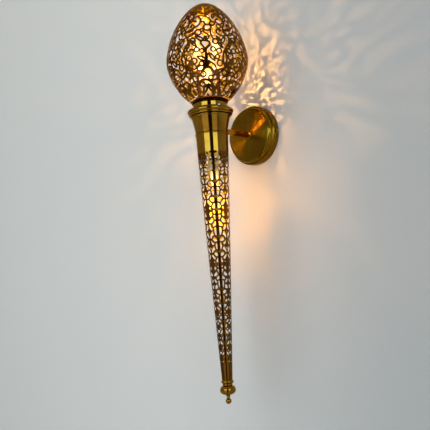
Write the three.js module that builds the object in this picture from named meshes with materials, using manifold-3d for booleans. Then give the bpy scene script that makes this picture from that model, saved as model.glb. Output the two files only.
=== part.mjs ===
import * as THREE from 'three';
import { mergeVertices } from 'three/addons/utils/BufferGeometryUtils.js';
import Module from 'manifold-3d';

// A brass torch wall light. A round canopy on the wall carries a short arm, the arm carries a flared
// cup, and the cup carries a pierced egg shade above and a long pierced cone below. One threaded rod
// runs down the torch's axis and clamps the stack between a plate in the cup and the finial.
// Lengths are in millimetres. +Z is up, +Y runs into the wall, and the origin is the middle of the
// canopy on the wall's face. The torch's pieces are drawn about their own axis, +Z up.

const wasm = await Module();
wasm.setup();

// Shared fits
const clearance = 0.3;
const cutOverrun = 2;
const mergeDistance = 0.0001;

// Facets round a turned piece: rings share one count, so that nested rings keep their gaps
const ringSides = 24;
const stemSides = 16;
const tubeSides = 16;
const smallSides = 12;
const leadSides = 6;
const nutSides = 6;
const holeCorners = 6;

// Canopy size, which the bracket inside it follows
const canopyRadius = 60;
const canopyWall = 1.2;

// Wall bracket
const bracketGap = 1.6;
const bracketHalfWidth = 9;
const bracketThickness = 2;
const earDepth = 13;
const slotOffset = 38;
const slotHalfLength = 6;
const wallScrewRadius = 2;
const wallScrewHeadRadius = 4.2;
const wallScrewHeadDepth = 2.6;
const wallScrewReach = 22;

// Canopy's profile and side screws
const canopySide = 17;
const canopyCorner = 1.4;
const canopyGroove = 2.4;
const canopyBead = 4;
const canopyBeadFoot = 0.6;
const canopyFaceRise = 1;
const canopyDome = 0.6;
const canopyScrewDepth = 7;
const canopyScrewRadius = 2;
const canopyScrewHeadRadius = 3.6;
const canopyScrewHead = 3.4;
const canopyScrewChamfer = 0.6;

// Pieces on the bracket
const blockStart = 12;
const blockLength = 18;
const blockDepth = 10.5;
const blockHalfHeight = 8;
const blockStep = 3;
const blockWays = 3;
const blockNotchShare = 0.15;
const earthScrewOffset = 20;
const earthScrewRadius = 1.8;
const earthScrewHeadRadius = 3.6;
const earthScrewHead = 2.2;

// Arm
const projection = 130;
const armRadius = 5;
const armBore = 3.4;
const armBack = 13;
const armTipToAxis = 22;
const collarRadius = 8.6;
const collarLength = 5.2;
const collarRound = 1.6;
const collarLip = 0.9;
const washerRadius = 9;
const washerThickness = 1.2;
const armNutRadius = 8;
const armNutThickness = 4.4;
const ferruleRadius = 6.8;
const ferruleLength = 2.6;

// Cup
const sheet = 1.2;
const seamHeight = -10;
const cupFootRadius = 31;
const cupRimMargin = 5.3;
const cupTop = 25.3;
const cupFlare = 1.45;
const cupSteps = 4;
const spigotLength = 13;

// Rim ring, gallery and shade screws
const ringBeadMargin = 11.7;
const ringHeight = 12.4;
const ringFootBead = 1.3;
const ringFootHeight = 2;
const ringCove = 3.6;
const ringShoulder = 3.1;
const ringLedge = 3.6;
const ringLedgeWidth = 3.2;
const galleryRadius = 32.9;
const galleryTop = 49.5;
const galleryBulge = 0.5;
const galleryLipRadius = 24;
const shadeScrewLift = 2.7;
const shadeScrewRadius = 1.5;
const shadeScrewHeadRadius = 2.6;
const shadeScrewHead = 1.8;
const shadeScrewAzimuth = -15;
const shadeScrewCount = 3;

// Egg shade
const sleeveLength = 15.8;
const eggSeatWidth = 2.1;
const neckLip = 1.4;
const eggRadius = 79.5;
const eggWidest = 132.6;
const eggTop = 251.2;
const eggCurve = 1.653;
const eggPower = 0.585;
const eggRings = 10;
const eggPlainBand = 5.5;
const eggCrown = 7;
const eggPanels = 6;
const panelAzimuth = -45;

// Stem cone
const stemTopRadius = 31.1;
const stemEndRadius = 10;
const stemBottom = -474.7;
const stemCurve = 1.09;
const stemRings = 3;
const stemTopBand = 37;
const stemEndBand = 31;
const stemPanels = 4;
const stemRepeats = 4;

// End ring and finial
const endRingRadius = 11.7;
const endRingHeight = 11;
const endRingWaist = 9.2;
const endRingWaistHeight = 2.8;
const endSpigotLength = 6;
const finialRadius = 14.8;
const bulbHeight = 16.8;
const finialTopRadius = 8.6;
const finialNeckRadius = 3.8;
const finialNeckHeight = 5.9;
const ballRadius = 5.5;
const ballLowAngle = -60;
const ballHighAngle = 45;
const bulbSteps = 6;
const rodGrip = 15;

// Rod, plate and nuts
const rodRadius = 3;
const rodRise = 27;
const lampPlateThickness = 1.5;
const rodWasherRadius = 8;
const rodNutRadius = 6.4;
const rodNutThickness = 4.5;

// Lamps and what carries them
const lampSpread = 19;
const clusterAzimuth = 45;
const hubRadius = 8;
const hubHeight = 23;
const strapHalfWidth = 7;
const strapThickness = 2;
const lampTubeRadius = 4;
const lampTubeBore = 2.6;
const tallTubeLength = 53.4;
const holderRadius = 8.3;
const holderHeight = 22.7;
const holderFoot = 5;
const holderChamfer = 3.3;
const lampBaseRadius = 6;
const lampGlassRadius = 8;
const lampGlassLength = 35;
const lampGlassNeck = 6.2;
const lampTipRadius = 3;
const lampShoulder = 9;
const stemLampOffset = 13;
const stemLampAzimuth = 135;
const stemStrapHeight = -14;
const stemTubeLength = 39.7;
const connectorHalfLength = 9;
const connectorWidth = 10;
const connectorHeight = 12;
const connectorGap = 6;
const supplyLeadRadius = 2.2;
const lampLeadRadius = 1.5;
const leadHoleRadius = 2.1;
const supplyLeadSteps = 28;
const clusterLeadSteps = 18;
const stemLeadSteps = 16;
const clusterLeadAzimuth = 142;
const clusterLeadBendShare = 0.8;
const stemLeadShare = 0.7;

// Materials
const brass = { color: 0x8a6412, roughness: 0.32, metalness: 1 };
const innerBrass = { color: 0x9c7a34, roughness: 0.45, metalness: 1 };
const steel = { color: 0x9a9a96, roughness: 0.4, metalness: 1 };
const ceramic = { color: 0xe8e2d2, roughness: 0.5, metalness: 0 };
const glass = { color: 0xfff0c8, roughness: 0.15, metalness: 0 };
const insulation = { color: 0x4a443c, roughness: 0.6, metalness: 0 };

// Geometry helpers

function tidy(geometry) {
  geometry.deleteAttribute('normal');
  geometry.deleteAttribute('uv');
  const merged = mergeVertices(geometry, mergeDistance);
  const corners = merged.index.array;
  const kept = [];
  for (let i = 0; i < corners.length; i += 3) {
    const [a, b, c] = [corners[i], corners[i + 1], corners[i + 2]];
    if (a !== b && b !== c && c !== a) kept.push(a, b, c);
  }
  merged.setIndex(kept);
  return merged;
}

function solid(geometry) {
  const mesh = new wasm.Mesh({
    numProp: 3,
    vertProperties: new Float32Array(geometry.attributes.position.array),
    triVerts: new Uint32Array(geometry.index.array),
  });
  return new wasm.Manifold(mesh);
}

function cut(body, tools) {
  let rest = solid(body);
  for (const tool of tools) {
    rest = rest.subtract(solid(tool));
  }
  const mesh = rest.getMesh();
  const geometry = new THREE.BufferGeometry();
  geometry.setAttribute('position', new THREE.BufferAttribute(mesh.vertProperties, 3));
  geometry.setIndex(new THREE.BufferAttribute(mesh.triVerts, 1));
  return geometry;
}

// A closed outline of [radius, height] pairs, turned about Z
function turned(outline, sides) {
  const closed = [...outline, outline[0]];
  let area = 0;
  for (let i = 0; i < outline.length; i += 1) {
    area += closed[i][0] * closed[i + 1][1] - closed[i + 1][0] * closed[i][1];
  }
  if (area < 0) closed.reverse();
  const points = closed.map(([radius, height]) => new THREE.Vector2(radius, height));
  const geometry = new THREE.LatheGeometry(points, sides);
  geometry.rotateX(Math.PI / 2);
  return tidy(geometry);
}

// A round bar between two points
function bar(start, end, radius, sides) {
  const along = new THREE.Vector3().subVectors(end, start);
  const geometry = new THREE.CylinderGeometry(radius, radius, along.length(), sides);
  const turn = new THREE.Quaternion();
  turn.setFromUnitVectors(new THREE.Vector3(0, 1, 0), along.clone().normalize());
  geometry.applyQuaternion(turn);
  geometry.translate(...new THREE.Vector3().addVectors(start, end).multiplyScalar(0.5).toArray());
  return tidy(geometry);
}

// A flat shape, extruded upward from z = 0
function plate(shape, thickness) {
  const geometry = new THREE.ExtrudeGeometry(shape, {
    depth: thickness,
    bevelEnabled: false,
    curveSegments: smallSides / 2,
  });
  return tidy(geometry);
}

function roundHole(x, y, radius) {
  const hole = new THREE.Path();
  hole.absarc(x, y, radius, 0, 2 * Math.PI, true);
  return hole;
}

function washer(radius, bore, thickness) {
  return turned([[bore, 0], [radius, 0], [radius, thickness], [bore, thickness]], tubeSides);
}

function nut(radius, bore, thickness) {
  const shape = new THREE.Shape();
  for (let i = 0; i < nutSides; i += 1) {
    const angle = (2 * Math.PI * i) / nutSides;
    const corner = [radius * Math.cos(angle), radius * Math.sin(angle)];
    if (i === 0) shape.moveTo(...corner);
    else shape.lineTo(...corner);
  }
  shape.closePath();
  shape.holes.push(roundHole(0, 0, bore));
  return plate(shape, thickness);
}

function lead(points, radius, steps) {
  const shape = new THREE.Shape();
  for (let i = 0; i < leadSides; i += 1) {
    const angle = (2 * Math.PI * i) / leadSides;
    const corner = [radius * Math.cos(angle), radius * Math.sin(angle)];
    if (i === 0) shape.moveTo(...corner);
    else shape.lineTo(...corner);
  }
  const path = new THREE.CatmullRomCurve3(points.map((point) => new THREE.Vector3(...point)));
  const geometry = new THREE.ExtrudeGeometry(shape, { steps, extrudePath: path });
  return tidy(geometry);
}

function around(azimuth, radius) {
  const angle = THREE.MathUtils.degToRad(azimuth);
  return [radius * Math.cos(angle), radius * Math.sin(angle)];
}

// Points of an arc in a turned outline, from one angle to another
function arc(centreRadius, centreHeight, radius, from, to, steps) {
  const points = [];
  for (let i = 0; i <= steps; i += 1) {
    const angle = THREE.MathUtils.degToRad(from + ((to - from) * i) / steps);
    points.push([centreRadius + radius * Math.cos(angle), centreHeight + radius * Math.sin(angle)]);
  }
  return points;
}

// Scene graph: the fixture holds the wall's pieces, and the torch group stands on the torch's axis
const fixture = new THREE.Group();
const torch = new THREE.Group();
torch.position.set(0, -projection, 0);
fixture.add(torch);

function add(parent, name, geometry, finish) {
  const material = new THREE.MeshStandardMaterial({ ...finish, flatShading: true });
  const mesh = new THREE.Mesh(geometry, material);
  mesh.name = name;
  parent.add(mesh);
  return mesh;
}

// A piece drawn about +Z and turned to point away from the wall
function addFacingRoom(name, geometry, finish) {
  const mesh = add(fixture, name, geometry, finish);
  mesh.rotation.x = Math.PI / 2;
  return mesh;
}

// Wall bracket and what it carries

const bracketHalfLength = canopyRadius - canopyWall - bracketGap;

function bracket() {
  const inner = bracketHalfLength - bracketThickness;
  const shape = new THREE.Shape();
  shape.moveTo(-bracketHalfLength, 0);
  shape.lineTo(-bracketHalfLength, -earDepth);
  shape.lineTo(-inner, -earDepth);
  shape.lineTo(-inner, -bracketThickness);
  shape.lineTo(inner, -bracketThickness);
  shape.lineTo(inner, -earDepth);
  shape.lineTo(bracketHalfLength, -earDepth);
  shape.lineTo(bracketHalfLength, 0);
  shape.closePath();
  const body = plate(shape, 2 * bracketHalfWidth);
  body.translate(0, 0, -bracketHalfWidth);
  const back = cutOverrun;
  const front = -bracketThickness - cutOverrun;
  const slotRadius = wallScrewRadius + clearance;
  const tools = [];
  for (const side of [-1, 1]) {
    const slot = new THREE.Shape();
    const near = side * slotOffset - slotHalfLength + slotRadius;
    const far = side * slotOffset + slotHalfLength - slotRadius;
    slot.absarc(near, 0, slotRadius, Math.PI / 2, 1.5 * Math.PI, false);
    slot.absarc(far, 0, slotRadius, -Math.PI / 2, Math.PI / 2, false);
    const slotTool = plate(slot, back - front);
    slotTool.rotateX(Math.PI / 2);
    slotTool.translate(0, back, 0);
    tools.push(slotTool);
    const inside = new THREE.Vector3(side * (inner - cutOverrun), -canopyScrewDepth, 0);
    const outside = new THREE.Vector3(side * (bracketHalfLength + cutOverrun), -canopyScrewDepth, 0);
    tools.push(bar(inside, outside, canopyScrewRadius + clearance, smallSides));
  }
  const earthBack = new THREE.Vector3(-earthScrewOffset, back, 0);
  const earthFront = new THREE.Vector3(-earthScrewOffset, front, 0);
  tools.push(bar(earthBack, earthFront, earthScrewRadius + clearance, smallSides));
  return cut(body, tools);
}

function panScrew(radius, headRadius, headHeight, below) {
  return turned([
    [0, -below],
    [radius / 2, -below],
    [radius, -below + radius],
    [radius, 0],
    [headRadius, 0],
    [headRadius, headHeight / 2],
    [headRadius - headHeight / 2, headHeight],
    [0, headHeight],
  ], smallSides);
}

function terminalBlock() {
  const shape = new THREE.Shape();
  const top = blockDepth;
  const step = blockDepth - blockStep;
  const pitch = (2 * blockHalfHeight) / blockWays;
  const notch = pitch * blockNotchShare;
  shape.moveTo(-blockHalfHeight, 0);
  shape.lineTo(blockHalfHeight, 0);
  for (let way = blockWays - 1; way >= 0; way -= 1) {
    const low = -blockHalfHeight + way * pitch;
    shape.lineTo(low + pitch, step);
    shape.lineTo(low + pitch - notch, top);
    shape.lineTo(low + notch, top);
    shape.lineTo(low, step);
  }
  shape.closePath();
  return plate(shape, blockLength);
}

add(fixture, 'wall_bracket', bracket(), steel);
const screwSeat = bracketThickness + clearance;
for (const [name, side] of [['wall_screw_left', -1], ['wall_screw_right', 1]]) {
  const screw = panScrew(wallScrewRadius, wallScrewHeadRadius, wallScrewHeadDepth, wallScrewReach + screwSeat);
  const mesh = addFacingRoom(name, screw, steel);
  mesh.position.set(side * slotOffset, -screwSeat, 0);
}
const earthScrew = panScrew(earthScrewRadius, earthScrewHeadRadius, earthScrewHead, screwSeat);
const earthMesh = addFacingRoom('earth_screw', earthScrew, brass);
earthMesh.position.set(-earthScrewOffset, -screwSeat, 0);

const block = add(fixture, 'terminal_block', terminalBlock(), ceramic);
block.setRotationFromMatrix(new THREE.Matrix4().makeBasis(
  new THREE.Vector3(0, 0, 1),
  new THREE.Vector3(0, -1, 0),
  new THREE.Vector3(1, 0, 0),
));
block.position.set(blockStart, -screwSeat, 0);

// Canopy, with its two side screws in the bracket's ears

const canopyFace = canopySide + canopyCorner + canopyBeadFoot + canopyBead + canopyFaceRise;
const canopyDepth = canopyFace + canopyDome;
const canopyArmHole = armRadius + clearance;

function canopy() {
  const beadCentre = canopyRadius - canopyGroove - canopyBead;
  const beadBase = canopySide + canopyCorner + canopyBeadFoot;
  const inside = canopyRadius - canopyWall;
  const body = turned([
    [inside, 0],
    [canopyRadius, 0],
    [canopyRadius, canopySide],
    [canopyRadius - canopyCorner, canopySide + canopyCorner],
    [canopyRadius - canopyGroove, canopySide + canopyCorner],
    ...arc(beadCentre, beadBase, canopyBead, 0, 90, 3),
    [beadCentre - canopyWall / 2, canopyFace],
    [canopyArmHole, canopyDepth],
    [canopyArmHole, canopyDepth - canopyWall],
    [beadCentre - 2 * canopyWall, canopyFace - canopyWall],
    [beadCentre + canopyGroove, canopySide + canopyCorner / 2],
    [inside, canopySide - canopyCorner],
  ], ringSides);
  const tools = [-1, 1].map((side) => {
    const start = new THREE.Vector3(side * (inside - cutOverrun), 0, canopyScrewDepth);
    const end = new THREE.Vector3(side * (canopyRadius + cutOverrun), 0, canopyScrewDepth);
    return bar(start, end, canopyScrewRadius + clearance, smallSides);
  });
  return cut(body, tools);
}

function canopyScrew() {
  const seat = canopyRadius + clearance;
  const end = seat + canopyScrewHead;
  return turned([
    [0, bracketHalfLength - 2 * bracketThickness],
    [canopyScrewRadius, bracketHalfLength - 2 * bracketThickness],
    [canopyScrewRadius, seat],
    [canopyScrewHeadRadius, seat],
    [canopyScrewHeadRadius, end - canopyScrewChamfer],
    [canopyScrewHeadRadius - canopyScrewChamfer, end],
    [0, end],
  ], smallSides);
}

addFacingRoom('backplate', canopy(), brass);
for (const [name, side] of [['canopy_screw_left', -1], ['canopy_screw_right', 1]]) {
  const mesh = add(fixture, name, canopyScrew(), brass);
  mesh.rotation.y = (side * Math.PI) / 2;
  mesh.position.set(0, -canopyScrewDepth, 0);
}

// Arm: a threaded tube from the canopy to the cup, with a collar, a ferrule and two nuts

const cupRimRadius = galleryRadius + cupRimMargin;

function cupRadiusAt(height) {
  const share = (height - seamHeight) / (cupTop - seamHeight);
  return cupFootRadius + (cupRimRadius - cupFootRadius) * share ** cupFlare;
}

const armBorePad = armRadius + clearance;
const armTip = projection - armTipToAxis;
const cupFaceAtArm = projection - cupRadiusAt(armRadius) - clearance;
const cupNutLow = armNutRadius * Math.cos(Math.PI / 6);
const cupInsideLow = (cupRadiusAt(-cupNutLow) - sheet) * Math.cos(Math.PI / ringSides);
const cupNutSeat = Math.sqrt(cupInsideLow ** 2 - (armNutRadius / 2) ** 2) - clearance;

const armTube = turned([
  [armBore, armBack],
  [armRadius, armBack],
  [armRadius, armTip],
  [armBore, armTip],
], tubeSides);
addFacingRoom('arm_tube', armTube, brass);

const collar = turned([
  [armBorePad, 0],
  [collarRadius, 0],
  [collarRadius, collarLength / 2],
  [collarRadius - collarRound, collarLength / 2 + collarRound / 2],
  [collarRadius - collarRound, collarLength - collarRound / 2],
  [armBorePad + collarLip, collarLength],
  [armBorePad, collarLength],
], tubeSides);
const collarMesh = addFacingRoom('arm_collar', collar, brass);
collarMesh.position.y = -(canopyDepth + clearance);

const washerFront = canopyDepth - canopyWall - clearance;
const armWasher = addFacingRoom('arm_washer', washer(washerRadius, armBorePad, washerThickness), steel);
armWasher.position.y = -(washerFront - washerThickness);
const armNut = addFacingRoom('arm_nut', nut(armNutRadius, armBorePad, armNutThickness), steel);
armNut.position.y = -(washerFront - washerThickness - clearance - armNutThickness);

function armFerrule() {
  const end = cupFaceAtArm + ferruleRadius;
  const body = turned([
    [armBorePad, cupFaceAtArm - ferruleLength],
    [ferruleRadius, cupFaceAtArm - ferruleLength],
    [ferruleRadius, end],
    [armBorePad, end],
  ], tubeSides);
  const cupSpace = turned([
    [0, seamHeight],
    [cupRadiusAt(seamHeight) + clearance, seamHeight],
    [cupRadiusAt(0) + clearance, 0],
    [cupRadiusAt(-seamHeight) + clearance, -seamHeight],
    [0, -seamHeight],
  ], ringSides);
  cupSpace.rotateX(-Math.PI / 2);
  cupSpace.translate(0, 0, projection);
  return cut(body, [cupSpace]);
}
addFacingRoom('arm_ferrule', armFerrule(), brass);
const cupNut = addFacingRoom('arm_cup_nut', nut(armNutRadius, armBorePad, armNutThickness), steel);
cupNut.position.y = -(projection - cupNutSeat);

// Cup, with a spigot inside the cone's top edge

function stemRadiusAt(height) {
  const share = Math.min(1, Math.max(0, (seamHeight - height) / (seamHeight - stemBottom)));
  return stemTopRadius - (stemTopRadius - stemEndRadius) * share ** stemCurve;
}

function stemInsideAt(height) {
  return stemRadiusAt(height) - sheet;
}

function cup() {
  const outer = [];
  const inner = [];
  for (let i = 0; i <= cupSteps; i += 1) {
    const height = seamHeight + ((cupTop - seamHeight) * i) / cupSteps;
    outer.push([cupRadiusAt(height), height]);
    inner.unshift([cupRadiusAt(height) - sheet, height]);
  }
  const spigotEnd = seamHeight - spigotLength;
  const flats = Math.cos(Math.PI / stemSides);
  const spigotTopRadius = stemInsideAt(seamHeight) * flats - clearance;
  const spigotEndRadius = stemInsideAt(spigotEnd) * flats - clearance;
  inner.pop();
  const body = turned([
    [spigotEndRadius - sheet, spigotEnd],
    [spigotEndRadius, spigotEnd],
    [spigotTopRadius, seamHeight],
    ...outer,
    ...inner,
    [cupRadiusAt(seamHeight + sheet) - sheet, seamHeight + sheet],
    [spigotTopRadius - sheet, seamHeight + sheet],
  ], ringSides);
  const armInside = new THREE.Vector3(0, armTipToAxis, 0);
  const armOutside = new THREE.Vector3(0, cupRimRadius + cutOverrun, 0);
  return cut(body, [bar(armInside, armOutside, armBorePad, tubeSides)]);
}
add(torch, 'cup', cup(), brass);

// Rim ring on the cup's edge, and the gallery that holds the shade

const ringBottom = cupTop + clearance;
const ringTop = ringBottom + ringHeight;
const ledgeHeight = ringBottom + ringLedge;
const ringBore = galleryRadius + clearance;
const galleryBottom = ledgeHeight + clearance;
const galleryInside = galleryRadius - sheet;
const ringBeadRadius = galleryRadius + ringBeadMargin;
const shadeScrewHeight = ringTop + shadeScrewLift;

function rimRing() {
  const shoulder = ringBeadRadius - ringShoulder;
  return turned([
    [ringBore - ringLedgeWidth, ringBottom],
    [cupRimRadius, ringBottom],
    [cupRimRadius + ringFootBead, ringBottom + ringFootHeight / 2],
    [cupRimRadius + ringFootBead / 2, ringBottom + ringFootHeight],
    [shoulder, ringBottom + ringCove],
    [ringBeadRadius - ringShoulder / 4, ringBottom + ringCove + ringShoulder / 3],
    [ringBeadRadius, ringBottom + ringCove + ringShoulder],
    [ringBeadRadius - ringShoulder / 3, ringTop - ringShoulder / 2],
    [shoulder, ringTop],
    [ringBore, ringTop],
    [ringBore, ledgeHeight],
    [ringBore - ringLedgeWidth, ledgeHeight],
  ], ringSides);
}
add(torch, 'rim_ring', rimRing(), brass);

function gallery() {
  const middle = (ringTop + galleryTop) / 2;
  const body = turned([
    [galleryLipRadius, galleryBottom],
    [galleryRadius, galleryBottom],
    [galleryRadius, ringTop + clearance],
    [galleryRadius + galleryBulge, middle],
    [galleryRadius, galleryTop],
    [galleryInside, galleryTop],
    [galleryInside, galleryBottom + sheet],
    [galleryLipRadius, galleryBottom + sheet],
  ], ringSides);
  const tools = [];
  for (let i = 0; i < shadeScrewCount; i += 1) {
    const azimuth = shadeScrewAzimuth + (360 * i) / shadeScrewCount;
    const start = new THREE.Vector3(...around(azimuth, galleryInside - cutOverrun), shadeScrewHeight);
    const end = new THREE.Vector3(...around(azimuth, galleryRadius + cutOverrun), shadeScrewHeight);
    tools.push(bar(start, end, shadeScrewRadius + clearance, smallSides));
  }
  return cut(body, tools);
}
add(torch, 'shade_gallery', gallery(), brass);

const sleeveRadius = galleryInside - clearance;
const shadeScrewSeat = galleryRadius + galleryBulge + clearance;
for (let i = 0; i < shadeScrewCount; i += 1) {
  const body = turned([
    [0, sleeveRadius + clearance],
    [shadeScrewRadius, sleeveRadius + clearance],
    [shadeScrewRadius, shadeScrewSeat],
    [shadeScrewHeadRadius, shadeScrewSeat],
    [shadeScrewHeadRadius - shadeScrewHead / 3, shadeScrewSeat + (2 * shadeScrewHead) / 3],
    [0, shadeScrewSeat + shadeScrewHead],
  ], smallSides);
  const mesh = add(torch, `shade_screw_${i + 1}`, body, steel);
  const azimuth = shadeScrewAzimuth + (360 * i) / shadeScrewCount;
  mesh.rotation.set(0, Math.PI / 2, THREE.MathUtils.degToRad(azimuth), 'ZYX');
  mesh.position.set(0, 0, shadeScrewHeight);
}

// Plate on the gallery's lip, clamped by the rod's nut

const plateBottom = galleryBottom + sheet + clearance;
const plateTop = plateBottom + lampPlateThickness;
const clusterLeadPlace = [-(connectorHalfLength + connectorHeight / 2), connectorGap + connectorWidth / 2];

function lampPlate() {
  const shape = new THREE.Shape();
  shape.absarc(0, 0, galleryInside - clearance, 0, 2 * Math.PI, false);
  shape.holes.push(roundHole(0, 0, rodRadius + clearance));
  shape.holes.push(roundHole(...clusterLeadPlace, leadHoleRadius));
  const geometry = new THREE.ExtrudeGeometry(shape, {
    depth: lampPlateThickness,
    bevelEnabled: false,
    curveSegments: ringSides / 2,
  });
  return tidy(geometry);
}
const lampPlateMesh = add(torch, 'lamp_plate', lampPlate(), innerBrass);
lampPlateMesh.position.z = plateBottom;

const rodBore = rodRadius + clearance;
const plateWasher = add(torch, 'plate_washer', washer(rodWasherRadius, rodBore, washerThickness), steel);
plateWasher.position.z = plateTop + clearance;
const plateNut = add(torch, 'plate_nut', nut(rodNutRadius, rodBore, rodNutThickness), steel);
plateNut.position.z = plateTop + washerThickness + 2 * clearance;
const nutTop = plateTop + washerThickness + 2 * clearance + rodNutThickness;

// Egg shade: a shell on a neck ring, round a sleeve that plugs into the gallery

const sleeveTop = galleryTop + clearance;
const eggBottom = sleeveTop + sheet + clearance;
const eggSeatRadius = sleeveRadius + eggSeatWidth;

// The lower half would close at eggFoot, under the neck ring. This height makes it pass its seat.
const eggSeatShare = (1 - (eggSeatRadius / eggRadius) ** (1 / eggPower)) ** (1 / eggCurve);
const eggFoot = eggWidest - (eggWidest - eggBottom) / eggSeatShare;

function eggRadiusAt(height) {
  const share = height < eggWidest
    ? (eggWidest - height) / (eggWidest - eggFoot)
    : (height - eggWidest) / (eggTop - eggWidest);
  return eggRadius * Math.max(0, 1 - share ** eggCurve) ** eggPower;
}

const neckSleeve = turned([
  [sleeveRadius - sheet, sleeveTop - sleeveLength],
  [sleeveRadius, sleeveTop - sleeveLength],
  [sleeveRadius, sleeveTop + sheet],
  [sleeveRadius - sheet, sleeveTop + sheet],
], ringSides);
add(torch, 'shade_neck_sleeve', neckSleeve, brass);

const neckRing = turned([
  [sleeveRadius + clearance, sleeveTop],
  [eggSeatRadius + neckLip, sleeveTop],
  [eggSeatRadius + neckLip, sleeveTop + sheet],
  [sleeveRadius + clearance, sleeveTop + sheet],
], ringSides);
add(torch, 'shade_neck_ring', neckRing, brass);

// An outline for one pierced hole: an oval whose ends sharpen as pointed grows past 1
function holeShape(length, width, pointed) {
  const shape = new THREE.Shape();
  for (let i = 0; i < holeCorners; i += 1) {
    const angle = (2 * Math.PI * i) / holeCorners;
    const across = Math.sin(angle);
    const x = (width / 2) * Math.sign(across) * Math.abs(across) ** pointed;
    const y = (length / 2) * Math.cos(angle);
    if (i === 0) shape.moveTo(x, y);
    else shape.lineTo(x, y);
  }
  shape.closePath();
  return shape;
}

// Cuts a shell's holes. Each panel is mirrored about its middle. A row of the table gives the hole's
// place across the half panel and up the repeat, its length as a share of the repeat, its width as a
// share of the half panel, its tilt in degrees and how pointed it is.
function pierced(shell, radiusAt, low, high, panels, repeats, rows) {
  const repeatHeight = (high - low) / repeats;
  const probe = repeatHeight * slopeProbeShare;
  const tools = [];
  for (let panel = 0; panel < panels; panel += 1) {
    for (let repeat = 0; repeat < repeats; repeat += 1) {
      for (const [across, up, length, width, tilt, pointed] of rows) {
        const sides = across === 0 || across === 1 ? [1] : [-1, 1];
        for (const side of sides) {
          const height = low + (repeat + up) * repeatHeight;
          const radius = radiusAt(height);
          const slope = (radiusAt(height + probe) - radiusAt(height - probe)) / (2 * probe);
          const turn = panelAzimuth + (360 * (panel + (side * across) / 2)) / panels;
          const angle = THREE.MathUtils.degToRad(turn);
          const outward = new THREE.Vector3(Math.cos(angle), Math.sin(angle), 0);
          const tangent = new THREE.Vector3(-Math.sin(angle), Math.cos(angle), 0);
          const upward = outward.clone().multiplyScalar(slope).add(new THREE.Vector3(0, 0, 1)).normalize();
          const normal = new THREE.Vector3().crossVectors(tangent, upward);
          const halfPanel = (Math.PI * radius) / panels;
          const shape = holeShape(length * repeatHeight, width * halfPanel, pointed);
          const depth = 2 * cutOverrun + sheet;
          const tool = plate(shape, depth);
          tool.rotateZ(THREE.MathUtils.degToRad(-side * tilt));
          tool.translate(0, 0, -depth / 2);
          tool.applyMatrix4(new THREE.Matrix4().makeBasis(tangent, upward, normal));
          const middle = radius - sheet / 2;
          tool.translate(middle * Math.cos(angle), middle * Math.sin(angle), height);
          tools.push(tool);
        }
      }
    }
  }
  return cut(shell, tools);
}

const slopeProbeShare = 0.02;
const eggHoleShares = [
  [0, 0.07, 0.1, 0.5, 0, 1.2],
  [1, 0.07, 0.1, 0.5, 0, 1.2],
  [0.5, 0.15, 0.105, 0.5, 12, 1.2],
  [0, 0.24, 0.115, 0.52, 0, 1],
  [1, 0.24, 0.115, 0.52, 0, 1],
  [0.5, 0.34, 0.12, 0.52, 20, 1.1],
  [0, 0.44, 0.12, 0.54, 0, 1],
  [1, 0.44, 0.12, 0.54, 0, 1],
  [0.5, 0.54, 0.12, 0.52, -20, 1.1],
  [0, 0.64, 0.115, 0.52, 0, 1],
  [1, 0.64, 0.115, 0.52, 0, 1],
  [0.5, 0.735, 0.11, 0.52, 14, 1.1],
  [0, 0.825, 0.1, 0.52, 0, 1],
  [1, 0.825, 0.1, 0.52, 0, 1],
  [0.5, 0.9, 0.075, 0.52, 0, 1.1],
  [0, 0.965, 0.045, 0.5, 0, 1],
  [1, 0.965, 0.045, 0.5, 0, 1],
];

function eggShell() {
  const outer = [];
  const inner = [];
  const lowAngle = Math.asin((eggBottom - eggWidest) / (eggWidest - eggFoot));
  for (let i = 0; i <= eggRings; i += 1) {
    const angle = lowAngle + ((Math.PI / 2 - lowAngle) * i) / eggRings;
    const reach = angle < 0 ? eggWidest - eggFoot : eggTop - eggWidest;
    const height = eggWidest + reach * Math.sin(angle);
    const radius = i === eggRings ? 0 : eggRadiusAt(height);
    outer.push([radius, height]);
    const insideHeight = eggWidest + (reach - sheet) * Math.sin(angle);
    inner.unshift([Math.max(0, radius - sheet), i === 0 ? height : insideHeight]);
  }
  const shell = turned([...outer, ...inner], ringSides);
  const low = eggBottom + eggPlainBand;
  return pierced(shell, eggRadiusAt, low, eggTop - eggCrown, eggPanels, 1, eggHoleShares);
}
add(torch, 'egg_shade', eggShell(), brass);

// Stem cone, slid over the cup's spigot and held up by the finial

const stemHoleShares = [
  [0, 0.5, 0.14, 0.3, 0, 1.3],
  [0.45, 0.25, 0.18, 0.3, 25, 1.3],
  [0.45, 0.75, 0.18, 0.3, -25, 1.3],
];

function stemShell() {
  const outer = [];
  const inner = [];
  const top = seamHeight - clearance;
  for (let i = 0; i <= stemRings; i += 1) {
    const height = top - ((top - stemBottom) * i) / stemRings;
    outer.unshift([stemRadiusAt(height), height]);
    inner.push([stemInsideAt(height), height]);
  }
  const shell = turned([...outer, ...inner], stemSides);
  const low = stemBottom + stemEndBand;
  const high = top - stemTopBand;
  return pierced(shell, stemRadiusAt, low, high, stemPanels, stemRepeats, stemHoleShares);
}
add(torch, 'stem_cone', stemShell(), brass);

const endTop = stemBottom - clearance;
const endBottom = endTop - endRingHeight;

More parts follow.
